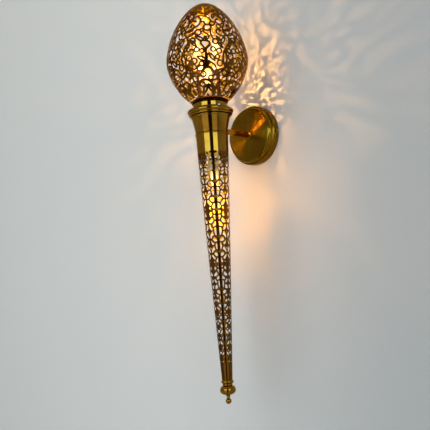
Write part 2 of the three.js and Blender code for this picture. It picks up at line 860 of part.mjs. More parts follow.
function endRing() {
  const spigotRadius = stemInsideAt(stemBottom) - clearance;
  const beadHalf = (endRingHeight - endRingWaistHeight) / 2;
  const beadMiddle = endTop - beadHalf;
  return turned([
    [rodBore, endBottom],
    [endRingWaist, endBottom],
    [endRingWaist, endBottom + endRingWaistHeight],
    [endRingRadius - (endRingRadius - endRingWaist) / 4, beadMiddle - beadHalf / 2],
    [endRingRadius, beadMiddle],
    [endRingRadius - (endRingRadius - endRingWaist) / 4, beadMiddle + beadHalf / 2],
    [stemEndRadius, endTop],
    [spigotRadius, endTop],
    [spigotRadius, endTop + endSpigotLength],
    [rodBore, endTop + endSpigotLength],
  ], tubeSides);
}
add(torch, 'stem_end_ring', endRing(), brass);

const finialTop = endBottom - clearance;
const rodBottom = finialTop - rodGrip;

function finial() {
  const bulbMiddle = finialTop - bulbHeight / 2;
  const neckTop = finialTop - bulbHeight;
  const ballMiddle = neckTop - finialNeckHeight - ballRadius;
  const bulb = [];
  for (let i = 0; i <= bulbSteps; i += 1) {
    const angle = (Math.PI * (i + 0.5)) / (bulbSteps + 1);
    const endRadius = i < bulbSteps / 2 ? finialTopRadius : finialNeckRadius;
    const radius = endRadius + (finialRadius - endRadius) * Math.sin(angle);
    bulb.unshift([radius, bulbMiddle + (bulbHeight / 2) * Math.cos(angle)]);
  }
  return turned([
    [0, ballMiddle - ballRadius],
    ...arc(0, ballMiddle, ballRadius, ballLowAngle, ballHighAngle, 4),
    [finialNeckRadius, neckTop],
    ...bulb,
    [finialTopRadius, finialTop],
    [rodBore, finialTop],
    [rodBore, rodBottom - clearance],
    [0, rodBottom - clearance],
  ], tubeSides);
}
add(torch, 'finial', finial(), brass);

// Tie rod from the finial, through the lamp plate, to the lamp cluster's hub

const rodTop = plateTop + rodRise;
const tieRod = turned([
  [0, rodBottom],
  [rodRadius, rodBottom],
  [rodRadius, rodTop],
  [0, rodTop],
], smallSides);
add(torch, 'tie_rod', tieRod, steel);

// Lamp cluster over the plate: a hub on the rod, a strap, two tall tubes and three lampholders

const hubBottom = nutTop + clearance;
const hubTop = hubBottom + hubHeight;
const strapBottom = hubTop + clearance;
const strapTop = strapBottom + strapThickness;

const hub = turned([
  [rodBore, hubBottom],
  [hubRadius, hubBottom],
  [hubRadius, hubTop],
  [0, hubTop],
  [0, rodTop + clearance],
  [rodBore, rodTop + clearance],
], tubeSides);
add(torch, 'cluster_hub', hub, innerBrass);

const cluster = new THREE.Group();
cluster.rotation.z = THREE.MathUtils.degToRad(clusterAzimuth);
torch.add(cluster);

function strapShape(from, to, halfWidth) {
  const shape = new THREE.Shape();
  shape.absarc(from, 0, halfWidth, Math.PI / 2, 1.5 * Math.PI, false);
  shape.absarc(to, 0, halfWidth, -Math.PI / 2, Math.PI / 2, false);
  return shape;
}
const clusterStrapBody = plate(strapShape(-lampSpread, lampSpread, strapHalfWidth), strapThickness);
const clusterStrap = add(cluster, 'cluster_strap', clusterStrapBody, innerBrass);
clusterStrap.position.z = strapBottom;

function lampTube(length) {
  return turned([
    [lampTubeBore, 0],
    [lampTubeRadius, 0],
    [lampTubeRadius, length],
    [lampTubeBore, length],
  ], smallSides);
}

function lampholder() {
  return turned([
    [0, 0],
    [holderFoot, 0],
    [holderRadius, holderChamfer],
    [holderRadius, holderHeight],
    [lampBaseRadius + clearance, holderHeight],
    [lampBaseRadius + clearance, holderFoot],
    [0, holderFoot],
  ], tubeSides);
}

function lampBase() {
  const top = holderHeight;
  return turned([
    [0, holderFoot + clearance],
    [lampBaseRadius / 2, holderFoot + clearance],
    [lampBaseRadius, holderFoot + lampBaseRadius / 2],
    [lampBaseRadius, top],
    [0, top],
  ], smallSides);
}

function lampGlass() {
  const foot = holderHeight + clearance;
  const top = foot + lampGlassLength;
  return turned([
    [0, foot],
    [lampGlassNeck, foot],
    [lampGlassRadius, foot + lampShoulder],
    [lampGlassRadius, top - lampShoulder],
    [lampGlassRadius - (lampGlassRadius - lampTipRadius) / 3, top - lampShoulder / 3],
    [lampTipRadius, top],
    [0, top],
  ], smallSides);
}

// One lampholder with its lamp, standing on a group whose +Z points from the holder to the lamp's tip
function addLamp(group, name) {
  add(group, `lampholder_${name}`, lampholder(), ceramic);
  add(group, `lamp_base_${name}`, lampBase(), brass);
  add(group, `lamp_glass_${name}`, lampGlass(), glass);
}

const tubeFoot = strapTop + clearance;
const middleLamp = new THREE.Group();
middleLamp.position.z = tubeFoot;
cluster.add(middleLamp);
addLamp(middleLamp, 'middle');
for (const [name, side] of [['left', -1], ['right', 1]]) {
  const tube = add(cluster, `lamp_tube_${name}`, lampTube(tallTubeLength), innerBrass);
  tube.position.set(side * lampSpread, 0, tubeFoot);
  const lamp = new THREE.Group();
  lamp.position.set(side * lampSpread, 0, tubeFoot + tallTubeLength + clearance);
  cluster.add(lamp);
  addLamp(lamp, name);
}

// Stem lamp: a strap nutted to the rod inside the spigot, with a tube and a lampholder under it

const stemSide = new THREE.Group();
stemSide.rotation.z = THREE.MathUtils.degToRad(stemLampAzimuth);
torch.add(stemSide);
const stemStrapShape = strapShape(0, stemLampOffset, strapHalfWidth);
stemStrapShape.holes.push(roundHole(0, 0, rodBore));
stemStrapShape.holes.push(roundHole(stemLampOffset, 0, leadHoleRadius));
const stemStrap = add(stemSide, 'stem_lamp_strap', plate(stemStrapShape, strapThickness), innerBrass);
stemStrap.position.z = stemStrapHeight - strapThickness;
const upperNut = add(torch, 'strap_nut_upper', nut(rodNutRadius, rodBore, rodNutThickness), steel);
upperNut.position.z = stemStrapHeight + clearance;
const lowerNut = add(torch, 'strap_nut_lower', nut(rodNutRadius, rodBore, rodNutThickness), steel);
lowerNut.position.z = stemStrapHeight - strapThickness - clearance - rodNutThickness;

const stemTubeTop = stemStrapHeight - strapThickness - clearance;
const stemTube = add(stemSide, 'stem_lamp_tube', lampTube(stemTubeLength), innerBrass);
stemTube.position.set(stemLampOffset, 0, stemTubeTop - stemTubeLength);
const stemLamp = new THREE.Group();
stemLamp.position.set(stemLampOffset, 0, stemTubeTop - stemTubeLength - clearance);
stemLamp.rotation.x = Math.PI;
stemSide.add(stemLamp);
addLamp(stemLamp, 'stem');

// Connector under the lamp plate, and the leads from the canopy to the lamps

const connectorTop = plateBottom - clearance;
const connectorBottom = connectorTop - connectorHeight;
const connectorShape = new THREE.Shape();
connectorShape.moveTo(-connectorHalfLength, connectorGap);
connectorShape.lineTo(connectorHalfLength, connectorGap);
connectorShape.lineTo(connectorHalfLength, connectorGap + connectorWidth);
connectorShape.lineTo(-connectorHalfLength, connectorGap + connectorWidth);
connectorShape.closePath();
const connector = add(torch, 'lamp_connector', plate(connectorShape, connectorHeight), ceramic);
connector.position.z = connectorBottom;

const connectorMiddle = connectorGap + connectorWidth / 2;
const blockLeadDepth = screwSeat + blockDepth / 2;
const supplyRoute = [
  [blockStart - clearance, -blockLeadDepth, 0],
  [blockStart / 2, -blockLeadDepth, 0],
  [armRadius / 6, -armBack + armRadius / 4, 0],
  [0, -armBack - armRadius, 0],
  [0, -projection / 2, 0],
  [0, -armTip + armRadius, 0],
  [0, -armTip - armRadius / 2, armRadius / 6],
  [0, -projection + connectorMiddle + armRadius / 6, connectorBottom - 1.5 * armRadius],
  [0, -projection + connectorMiddle, connectorBottom - clearance],
];
add(fixture, 'supply_lead', lead(supplyRoute, supplyLeadRadius, supplyLeadSteps), insulation);

const leadMiddle = (plateTop + hubTop) / 2;
const clusterLeadRoute = [
  [-connectorHalfLength - clearance, connectorMiddle, connectorTop - connectorHeight / 2],
  [-connectorHalfLength - leadHoleRadius, connectorMiddle, connectorTop - connectorHeight / 2],
  [clusterLeadPlace[0], clusterLeadPlace[1], connectorTop - leadHoleRadius],
  [clusterLeadPlace[0], clusterLeadPlace[1], plateTop + leadHoleRadius],
  [clusterLeadPlace[0] * clusterLeadBendShare, clusterLeadPlace[1] * clusterLeadBendShare, leadMiddle],
  [...around(clusterLeadAzimuth, hubRadius + clearance + lampLeadRadius / 3), leadMiddle + hubRadius / 4],
];
add(torch, 'cluster_lead', lead(clusterLeadRoute, lampLeadRadius, clusterLeadSteps), insulation);

const stemTubePlace = around(stemLampAzimuth, stemLampOffset);
const stemLeadRoute = [
  [-connectorHalfLength * stemLeadShare, connectorMiddle, connectorBottom - clearance],
  [-connectorHalfLength * stemLeadShare, connectorMiddle, connectorBottom - connectorHeight / 2],
  [stemTubePlace[0], stemTubePlace[1], 0],
  [stemTubePlace[0], stemTubePlace[1], stemStrapHeight + strapThickness],
  [stemTubePlace[0], stemTubePlace[1], stemTubeTop - lampTubeRadius],
];
add(torch, 'stem_lead', lead(stemLeadRoute, lampLeadRadius, stemLeadSteps), insulation);

export default fixture;
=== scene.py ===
import math

import bpy
import numpy as np
from mathutils import Matrix, Vector


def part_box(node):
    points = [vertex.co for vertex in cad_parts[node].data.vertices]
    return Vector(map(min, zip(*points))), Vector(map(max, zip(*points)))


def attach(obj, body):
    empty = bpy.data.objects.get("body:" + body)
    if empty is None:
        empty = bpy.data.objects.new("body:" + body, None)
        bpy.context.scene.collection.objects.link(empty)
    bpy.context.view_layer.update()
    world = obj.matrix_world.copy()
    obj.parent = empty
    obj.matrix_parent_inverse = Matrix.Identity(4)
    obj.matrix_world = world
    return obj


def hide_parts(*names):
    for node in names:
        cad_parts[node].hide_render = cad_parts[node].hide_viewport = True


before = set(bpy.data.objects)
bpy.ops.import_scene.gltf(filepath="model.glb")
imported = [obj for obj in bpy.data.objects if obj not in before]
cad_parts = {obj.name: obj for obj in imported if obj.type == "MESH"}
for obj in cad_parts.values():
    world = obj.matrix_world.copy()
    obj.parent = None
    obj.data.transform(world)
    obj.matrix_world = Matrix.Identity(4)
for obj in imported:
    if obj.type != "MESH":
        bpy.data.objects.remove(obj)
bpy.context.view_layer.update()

# Looks of a brass torch wall light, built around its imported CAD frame.
# Lengths are in millimetres in the CAD's frame, and a mesh is scaled to metres when it is made.
# Azimuths are in degrees round the torch's axis. On the shades they count from the side that the
# photograph shows, and grow towards the right of the photograph.

MM = 0.001

# The photograph's camera, in the frame, with its angles in radians
CAMERA_PLACE = (966.195, -1109.845, -308.663)
CAMERA_YAW = 0.781
CAMERA_PITCH = 0.103
CAMERA_ROLL = -0.063
FOCAL_PIXELS = 725.64
IMAGE_PIXELS = 430
SENSOR_WIDTH = 36

# Shared sizes of the metal
SHEET = 1.2
LACE_SHEET = 0.7
EASED_EDGE = 0.35
FINE_SIDES = 128
SMALL_SIDES = 48
SHARP_ANGLE = math.radians(35)


# Places and sizes from the frame

def corners(node):
    """Lowest and highest corner of a CAD node"""
    low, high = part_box(node)
    return np.array(low) / MM, np.array(high) / MM


def middle(node):
    low, high = corners(node)
    return (low + high) / 2


def span(node, axis=2):
    """Where a CAD node starts and ends along an axis, which is its height by default"""
    low, high = corners(node)
    return low[axis], high[axis]


def half_width(node, axis=0):
    start, end = span(node, axis)
    return (end - start) / 2


TORCH_AXIS = middle("egg_shade") * (1, 1, 0)


# Camera

def make_camera():
    forward = Vector((
        -math.sin(CAMERA_YAW) * math.cos(CAMERA_PITCH),
        math.cos(CAMERA_YAW) * math.cos(CAMERA_PITCH),
        math.sin(CAMERA_PITCH),
    ))
    level = forward.cross(Vector((0, 0, 1))).normalized()
    lift = level.cross(forward)
    right = math.cos(CAMERA_ROLL) * level + math.sin(CAMERA_ROLL) * lift
    up = math.cos(CAMERA_ROLL) * lift - math.sin(CAMERA_ROLL) * level
    data = bpy.data.cameras.new("photo_camera")
    data.sensor_width = SENSOR_WIDTH
    data.lens = SENSOR_WIDTH * FOCAL_PIXELS / IMAGE_PIXELS
    camera = bpy.data.objects.new("photo_camera", data)
    turn = Matrix((right, up, -forward)).transposed().to_4x4()
    camera.matrix_world = Matrix.Translation(Vector(CAMERA_PLACE) * MM) @ turn
    bpy.context.scene.collection.objects.link(camera)
    bpy.context.scene.camera = camera


# Materials

class Recipe:
    """A node tree of a material or of the world, with short calls that add its nodes"""

    def __init__(self, owner):
        owner.use_nodes = True
        self.owner = owner
        self.tree = owner.node_tree
        self.shader = self.tree.nodes.get("Principled BSDF")

    def add(self, kind, inputs=None, **settings):
        node = self.tree.nodes.new("ShaderNode" + kind)
        for name, value in settings.items():
            setattr(node, name, value)
        for name, value in (inputs or {}).items():
            self.set(node, name, value)
        return node

    def set(self, node, name, value):
        if isinstance(value, bpy.types.NodeSocket):
            self.tree.links.new(value, node.inputs[name])
        else:
            node.inputs[name].default_value = value

    def finish(self, **inputs):
        for name, value in inputs.items():
            self.set(self.shader, name.replace("_", " "), value)
        return self.owner

    def place(self):
        """Where a point is on the object, in metres"""
        return self.add("TexCoord").outputs["Object"]

    def noise(self, vector, scale, detail=3.0, roughness=0.55):
        inputs = {"Vector": vector, "Scale": scale, "Detail": detail, "Roughness": roughness}
        return self.add("TexNoise", inputs).outputs["Fac"]

    def between(self, value, low, high, from_low=0.3, from_high=0.7):
        """A value's range, mapped to low and high. A noise's usual range is the default."""
        inputs = {"Value": value, "From Min": from_low, "From Max": from_high, "To Min": low, "To Max": high}
        return self.add("MapRange", inputs).outputs["Result"]

    def colours(self, factor, stops):
        """A colour ramp over (position, colour) stops"""
        ramp = self.add("ValToRGB", {"Fac": factor})
        elements = ramp.color_ramp.elements
        while len(elements) < len(stops):
            elements.new(0.5)
        for element, (position, colour) in zip(elements, stops):
            element.position = position
            element.color = (*colour, 1)
        return ramp.outputs["Color"]

    def mixed(self, factor, first, second, blend="MIX"):
        node = self.add("Mix", data_type="RGBA", blend_type=blend)
        self.set(node, 0, factor)
        for index, value in ((6, first), (7, second)):
            if isinstance(value, tuple):
                value = (*value, 1)
            self.set(node, index, value)
        return node.outputs[2]

    def bump(self, height, strength, distance, normal=None):
        inputs = {"Height": height, "Strength": strength, "Distance": distance}
        if normal is not None:
            inputs["Normal"] = normal
        return self.add("Bump", inputs).outputs["Normal"]

    def maths(self, operation, first, second):
        return self.add("Math", {0: first, 1: second}, operation=operation).outputs["Value"]

    def mixed_values(self, factor, first, second):
        return self.add("Mix", {"Factor": factor, "A": first, "B": second}).outputs["Result"]

    def part(self, axis):
        """Where a point is along the frame's axis of that letter"""
        return self.add("SeparateXYZ", {"Vector": self.place()}).outputs[axis]

    def off_axis(self, axis):
        """How far each place lies from the frame's axis of that letter"""
        parts = self.add("SeparateXYZ", {"Vector": self.place()}).outputs
        flat = self.add("CombineXYZ", {letter: parts[letter] for letter in "XYZ" if letter != axis})
        return self.add("VectorMath", {0: flat.outputs["Vector"]}, operation="LENGTH").outputs["Value"]

    def marks_along(self, direction):
        """Fine turning marks: noise drawn out round an axis, which is given as a letter"""
        height = self.part("Z") if direction == "Z" else self.off_axis(direction)
        line = self.add("CombineXYZ", {"X": height}).outputs["Vector"]
        return self.noise(line, MARK_SCALE, 2.0)


def material(name):
    return bpy.data.materials.new(name)


# Tones of a brass: in its patina, over most of it, and where it is worn
OLIVE_TONES = (0.17, 0.071, 0.002), (0.26, 0.127, 0.005), (0.36, 0.20, 0.014)
BROWN_TONES = (0.13, 0.062, 0.001), (0.20, 0.105, 0.002), (0.28, 0.165, 0.008)
ARM_TONES = (0.22, 0.085, 0.003), (0.38, 0.17, 0.006), (0.5, 0.26, 0.012)
UMBER_TONES = (0.04, 0.008, 0.001), (0.13, 0.052, 0.002), (0.32, 0.19, 0.010)
DARK_TONES = (0.055, 0.016, 0.006), (0.085, 0.028, 0.009), (0.17, 0.075, 0.016)
# Painted shade: near-black tones for the egg's neck sleeve and ring, which lie in shade under the egg
PAINTED_SHADE_TONES = (0.012, 0.005, 0.002), (0.025, 0.010, 0.003), (0.06, 0.026, 0.006)
# The shades' insides: lighter, yellower tones than their outsides, a painted glow on top of the lamps' own
# light
AMBER_TONES = (0.15, 0.095, 0.003), (0.22, 0.155, 0.004), (0.28, 0.20, 0.008)
YELLOW_TONES = (0.15, 0.115, 0.001), (0.21, 0.175, 0.002), (0.28, 0.24, 0.004)


# Scales of the noises that make the brass's patches, specks, smears and turning marks
PATCH_SCALE = 22
SPECK_SCALE = 420
SMEAR_SCALE = 60
MARK_SCALE = 1500
FINE_RELIEF = 0.0002
# The canopy's brushed face: its radius and half the width of its edge, in metres
BRUSHED_RADIUS = 0.051
BRUSHED_EDGE = 0.0005
# Painted shade on the cone's pierced part: the height it lies under, half the width of its edge, and its
# tint
CONE_SHADE_HEIGHT = -0.048
CONE_SHADE_EDGE = 0.002
CONE_SHADE_TINT = (0.58, 0.46, 0.34)
GLOSS_TINT = (0.7, 0.5, 0.25, 1)


def brass(name, turning="Z", tones=OLIVE_TONES, roughness=(0.06, 0.11), coat=0.2, metal=1.0,
          brushed=None, painted_shade_below=None):
    """Lacquered antique brass with a faint patina, turning marks, smears and worn edges. A face
    brushed in circles is given by its radius, and painted shade, which darkens the colour under a height, by
    that height."""
    recipe = Recipe(material(name))
    place = recipe.place()
    patina, plain, worn = tones
    patches = recipe.noise(place, PATCH_SCALE, 4.0, 0.6)
    specks = recipe.noise(place, SPECK_SCALE, 3.0, 0.7)
    colour = recipe.colours(patches, [(0.22, patina), (0.46, plain), (0.9, worn)])
    colour = recipe.mixed(recipe.between(specks, 0.0, 0.18, 0.6, 0.78), colour, patina)
    edges = recipe.between(recipe.add("NewGeometry").outputs["Pointiness"], 0.0, 0.5, 0.53, 0.64)
    colour = recipe.mixed(edges, colour, worn)
    # Painted shade: the colour is darkened under a height
    if painted_shade_below:
        under = recipe.between(recipe.part("Z"), 1.0, 0.0, painted_shade_below - CONE_SHADE_EDGE, painted_shade_below + CONE_SHADE_EDGE)
        colour = recipe.mixed(under, colour, CONE_SHADE_TINT, "MULTIPLY")
    smears = recipe.noise(place, SMEAR_SCALE, 4.0, 0.65)
    normal = recipe.bump(recipe.marks_along(turning), 0.04, FINE_RELIEF)
    normal = recipe.bump(specks, 0.02, FINE_RELIEF, normal)
    rough = recipe.between(smears, *roughness)
    settings = {
        "Base_Color": colour,
        "Roughness": rough,
        "Normal": normal,
        "Metallic": metal,
        "Specular_Tint": GLOSS_TINT,
        "Coat_Weight": coat,
        "Coat_Roughness": 0.07,
    }
    if brushed:
        edge = brushed - BRUSHED_EDGE, brushed + BRUSHED_EDGE
        face = recipe.between(recipe.off_axis(turning), 1.0, 0.0, *edge)
        settings["Roughness"] = recipe.mixed_values(face, rough, recipe.maths("ADD", rough, 0.3))
        settings["Anisotropic"] = recipe.maths("MULTIPLY", face, 0.92)
        settings["Anisotropic_Rotation"] = 0.25
        tangent = recipe.add("Tangent", direction_type="RADIAL", axis=turning)
        settings["Tangent"] = tangent.outputs["Tangent"]
    return recipe.finish(**settings)


def nickel(name):
    """Bright nickel plate with faint wipe marks"""
    recipe = Recipe(material(name))
    wipes = recipe.noise(recipe.place(), 260, 4.0, 0.6)
    colour = recipe.mixed(recipe.between(wipes, 0.0, 1.0), (0.72, 0.70, 0.68), (0.88, 0.86, 0.84))
    return recipe.finish(Base_Color=colour, Roughness=recipe.between(wipes, 0.16, 0.28), Metallic=1.0)


def steel(name):
    """Zinc-plated steel with a faint crystal mottle"""
    recipe = Recipe(material(name))
    place = recipe.place()
    cells = recipe.add("TexVoronoi", {"Vector": place, "Scale": 300.0}).outputs["Color"]
    tone = recipe.mixed(recipe.noise(place, 90), (0.36, 0.36, 0.35), (0.52, 0.52, 0.50))
    colour = recipe.mixed(0.12, tone, cells, "SOFT_LIGHT")
    gloss = recipe.between(recipe.noise(place, 150), 0.24, 0.42)
    normal = recipe.bump(recipe.noise(place, 900), 0.08, 0.0002)
    return recipe.finish(Base_Color=colour, Roughness=gloss, Normal=normal, Metallic=1.0)


def ceramic(name):
    """Cream glazed ceramic with a few specks in the glaze"""
    recipe = Recipe(material(name))
    place = recipe.place()
    specks = recipe.between(recipe.noise(place, 900, 2.0), 0.0, 0.5, 0.68, 0.76)
    tone = recipe.mixed(recipe.noise(place, 60), (0.72, 0.68, 0.58), (0.80, 0.77, 0.68))
    colour = recipe.mixed(specks, tone, (0.42, 0.34, 0.22))
    normal = recipe.bump(recipe.noise(place, 240), 0.06, 0.0003)
    gloss = recipe.between(recipe.noise(place, 120), 0.25, 0.4)
    return recipe.finish(Base_Color=colour, Roughness=gloss, Normal=normal)


def insulation(name):
    """Braided dark sleeving on the leads"""
    recipe = Recipe(material(name))
    place = recipe.place()
    braid = recipe.add("TexVoronoi", {"Vector": place, "Scale": 900.0}).outputs["Distance"]
    colour = recipe.mixed(braid, (0.10, 0.085, 0.07), (0.045, 0.04, 0.035))
    normal = recipe.bump(braid, 0.4, 0.0003)
    return recipe.finish(Base_Color=colour, Roughness=0.7, Normal=normal)


LAMP_STRENGTH = 1.6
LAMP_STOPS = (0.0, (1.0, 0.86, 0.50)), (0.3, (1.0, 0.58, 0.10)), (0.8, (0.32, 0.12, 0.008))


def lamp_glass(name, centre, near, far):
    """Frosted glass lit from inside: cream near the filament, and amber towards its edges and ends"""
    recipe = Recipe(material(name))
    place = recipe.place()
    grain = recipe.between(recipe.noise(place, 500), -0.05, 0.05)
    off = recipe.add("VectorMath", {0: place, 1: tuple(centre)}, operation="DISTANCE").outputs["Value"]
    off = recipe.maths("ADD", recipe.between(off, 0.0, 0.7, near, far), grain)
    rim = recipe.between(recipe.add("LayerWeight", {"Blend": 0.5}).outputs["Facing"], 0.0, 0.6, 0.1, 0.8)
    colour = recipe.colours(recipe.maths("ADD", off, rim), LAMP_STOPS)
    return recipe.finish(
        Base_Color=(0.9, 0.82, 0.66, 1),
        Roughness=0.35,
        Emission_Color=colour,
        Emission_Strength=LAMP_STRENGTH,
    )


# Painted shade on the stage: where its colour starts to darken and where it stops, in metres across
FALL_OFF_START = -0.35
FALL_OFF_END = 0.4


def one_sided(name, left, right):
    """A matt stage surface that hides nothing from behind, with a faint plaster mottle. Its colour
    falls off from one side of the torch to the other, as painted shade."""
    recipe = Recipe(material(name))
    place = recipe.place()
    mottle = recipe.noise(place, 3.0, 5.0)
    ends = {"Value": recipe.part("X"), "From Min": FALL_OFF_START, "From Max": FALL_OFF_END}
    share = recipe.add("MapRange", ends, interpolation_type="SMOOTHSTEP").outputs["Result"]
    tone = recipe.mixed(share, left, right)
    tone = recipe.mixed(recipe.between(mottle, 0.0, 0.06), tone, (0.5, 0.5, 0.5))
    recipe.finish(Base_Color=tone, Roughness=0.9, Specular_IOR_Level=0.1)
    grain = recipe.bump(recipe.noise(place, 160, 4.0), 0.08, 0.001)
    recipe.set(recipe.shader, "Normal", grain)
    behind = recipe.add("NewGeometry").outputs["Backfacing"]
    clear = recipe.add("BsdfTransparent").outputs["BSDF"]
    choice = recipe.add("MixShader", {0: behind, 1: recipe.shader.outputs["BSDF"], 2: clear})
    recipe.set(recipe.tree.nodes["Material Output"], "Surface", choice.outputs["Shader"])
    return recipe.owner


# Meshes

def add_piece(name, points, faces, body, materials, stands_for=(), marks=None):
    """A piece from points and from lists of equal-sided faces, riding on a body. The marks say
    which of its materials each face has."""
    mesh = bpy.data.meshes.new(name)
    points = np.asarray(points, float) * MM
    mesh.vertices.add(len(points))
    mesh.vertices.foreach_set("co", points.ravel())
    counts = np.concatenate([np.full(len(group), group.shape[1]) for group in faces])
    loops = np.concatenate([group.ravel() for group in faces])
    mesh.loops.add(len(loops))
    mesh.loops.foreach_set("vertex_index", loops)
    mesh.polygons.add(len(counts))
    mesh.polygons.foreach_set("loop_start", np.concatenate([[0], np.cumsum(counts)[:-1]]))
    mesh.polygons.foreach_set("use_smooth", np.ones(len(counts), bool))
    for finish in materials:
        mesh.materials.append(finish)
    if marks is not None:
        mesh.polygons.foreach_set("material_index", np.concatenate(marks))
    mesh.update(calc_edges=True)
    mesh.validate()
    mesh.set_sharp_from_angle(angle=SHARP_ANGLE)
    piece = bpy.data.objects.new(name, mesh)
    bpy.context.scene.collection.objects.link(piece)
    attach(piece, body)
    if stands_for:
        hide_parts(*stands_for)
    return piece


def eased(outline, size=EASED_EDGE, steps=3):
    """A closed outline with its corners rounded"""
    outline = np.asarray(outline, float)
    points = []
    for index, corner in enumerate(outline):
        before = outline[index - 1] - corner
        after = outline[(index + 1) % len(outline)] - corner
        lengths = np.hypot(*before), np.hypot(*after)
        straight = min(lengths) == 0 or np.dot(before, after) / (lengths[0] * lengths[1]) < -0.92
        if corner[0] == 0 or straight:
            points.append(corner)
            continue
        start = corner + before / lengths[0] * min(size, 0.45 * lengths[0])
        end = corner + after / lengths[1] * min(size, 0.45 * lengths[1])
        for share in np.linspace(0, 1, steps + 1):
            points.append((1 - share) ** 2 * start + 2 * share * (1 - share) * corner + share ** 2 * end)
    return np.array(points)


def supported(outline, reach=0.5, least_turn=0.2):
    """A closed outline with points close to the corners that end its long faces, so that the
    faces stay level in the light"""
    points = []
    ahead = np.roll(outline, -1, 0) - outline
    headings = np.arctan2(ahead[:, 1], ahead[:, 0])
    turns = np.abs((headings - np.roll(headings, 1) + math.pi) % (2 * math.pi) - math.pi)
    for index, (corner, step) in enumerate(zip(outline, ahead)):
        points.append(corner)
        length = np.hypot(*step)
        if length > 4 * reach:
            if turns[index] > least_turn:
                points.append(corner + step * reach / length)
            if turns[(index + 1) % len(outline)] > least_turn:
                points.append(corner + step * (1 - reach / length))
    return np.array(points)


def turned_mesh(outline, sides):
    """Points and faces of a closed outline of (radius, height) pairs, turned about +Z"""
    outline = np.asarray(outline, float)
    radius, height = outline[:, 0], outline[:, 1]
    area = np.sum(radius * np.roll(height, -1) - np.roll(radius, -1) * height)
    if area < 0:
        outline = outline[::-1]
    angles = np.arange(sides) * 2 * math.pi / sides
    points, rings = [], []
    for radius, height in outline:
        start = len(points)
        if radius == 0:
            points.append((0, 0, height))
            rings.append(np.full(sides, start))
        else:
            points.extend((radius * math.cos(a), radius * math.sin(a), height) for a in angles)
            rings.append(np.arange(start, start + sides))
    quads, triangles = [], []
    for index, ring in enumerate(rings):
        above = rings[(index + 1) % len(rings)]
        low_pole, high_pole = ring[0] == ring[1], above[0] == above[1]
        if low_pole and high_pole:
            continue
        if low_pole:
            triangles.append(np.stack([ring, np.roll(above, -1), above], 1))
        elif high_pole:
            triangles.append(np.stack([ring, np.roll(ring, -1), above], 1))
        else:
            quads.append(np.stack([ring, np.roll(ring, -1), np.roll(above, -1), above], 1))
    groups = [np.concatenate(group) for group in (quads, triangles) if group]
    return np.array(points), groups


def upright(origin=TORCH_AXIS):
    """A piece's own frame with +Z up"""
    return Matrix.Translation(Vector(origin))


def facing(direction, origin=(0, 0, 0)):
    """A piece's own frame whose +Z points along a direction"""
    turn = Vector(direction).to_track_quat("Z", "Y").to_matrix().to_4x4()
    return Matrix.Translation(Vector(origin)) @ turn


TOWARDS_ROOM = facing((0, -1, 0))


def placed(points, frame_matrix):
    matrix = np.array(frame_matrix)
    return np.asarray(points) @ matrix[:3, :3].T + matrix[:3, 3]


def turned(node, outline, finish, body="fixture", at=None, sides=FINE_SIDES,
           ease=EASED_EDGE):
    """A fine turned piece that stands for a CAD node"""
    points, faces = turned_mesh(supported(eased(outline, ease)), sides)
    points = placed(points, upright() if at is None else at)
    return add_piece(node + "_fine", points, faces, body, [finish], [node])


def arc(centre, radius, start, end, steps=10):
    """Points of an arc in an outline, from one angle to another in degrees"""
    angles = np.radians(np.linspace(start, end, steps + 1))
    return [(centre[0] + radius * math.cos(a), centre[1] + radius * math.sin(a)) for a in angles]


# Lace: the pattern of metal round a pierced shade

PROFILE_POINTS = 4001
# A distance that is longer than any in the lace
FAR = 99.0
# The usual widths of a stem or a ring, and of the rim of an open leaf
STEM_WIDTH = 2.6
LEAF_RIM = 2.4


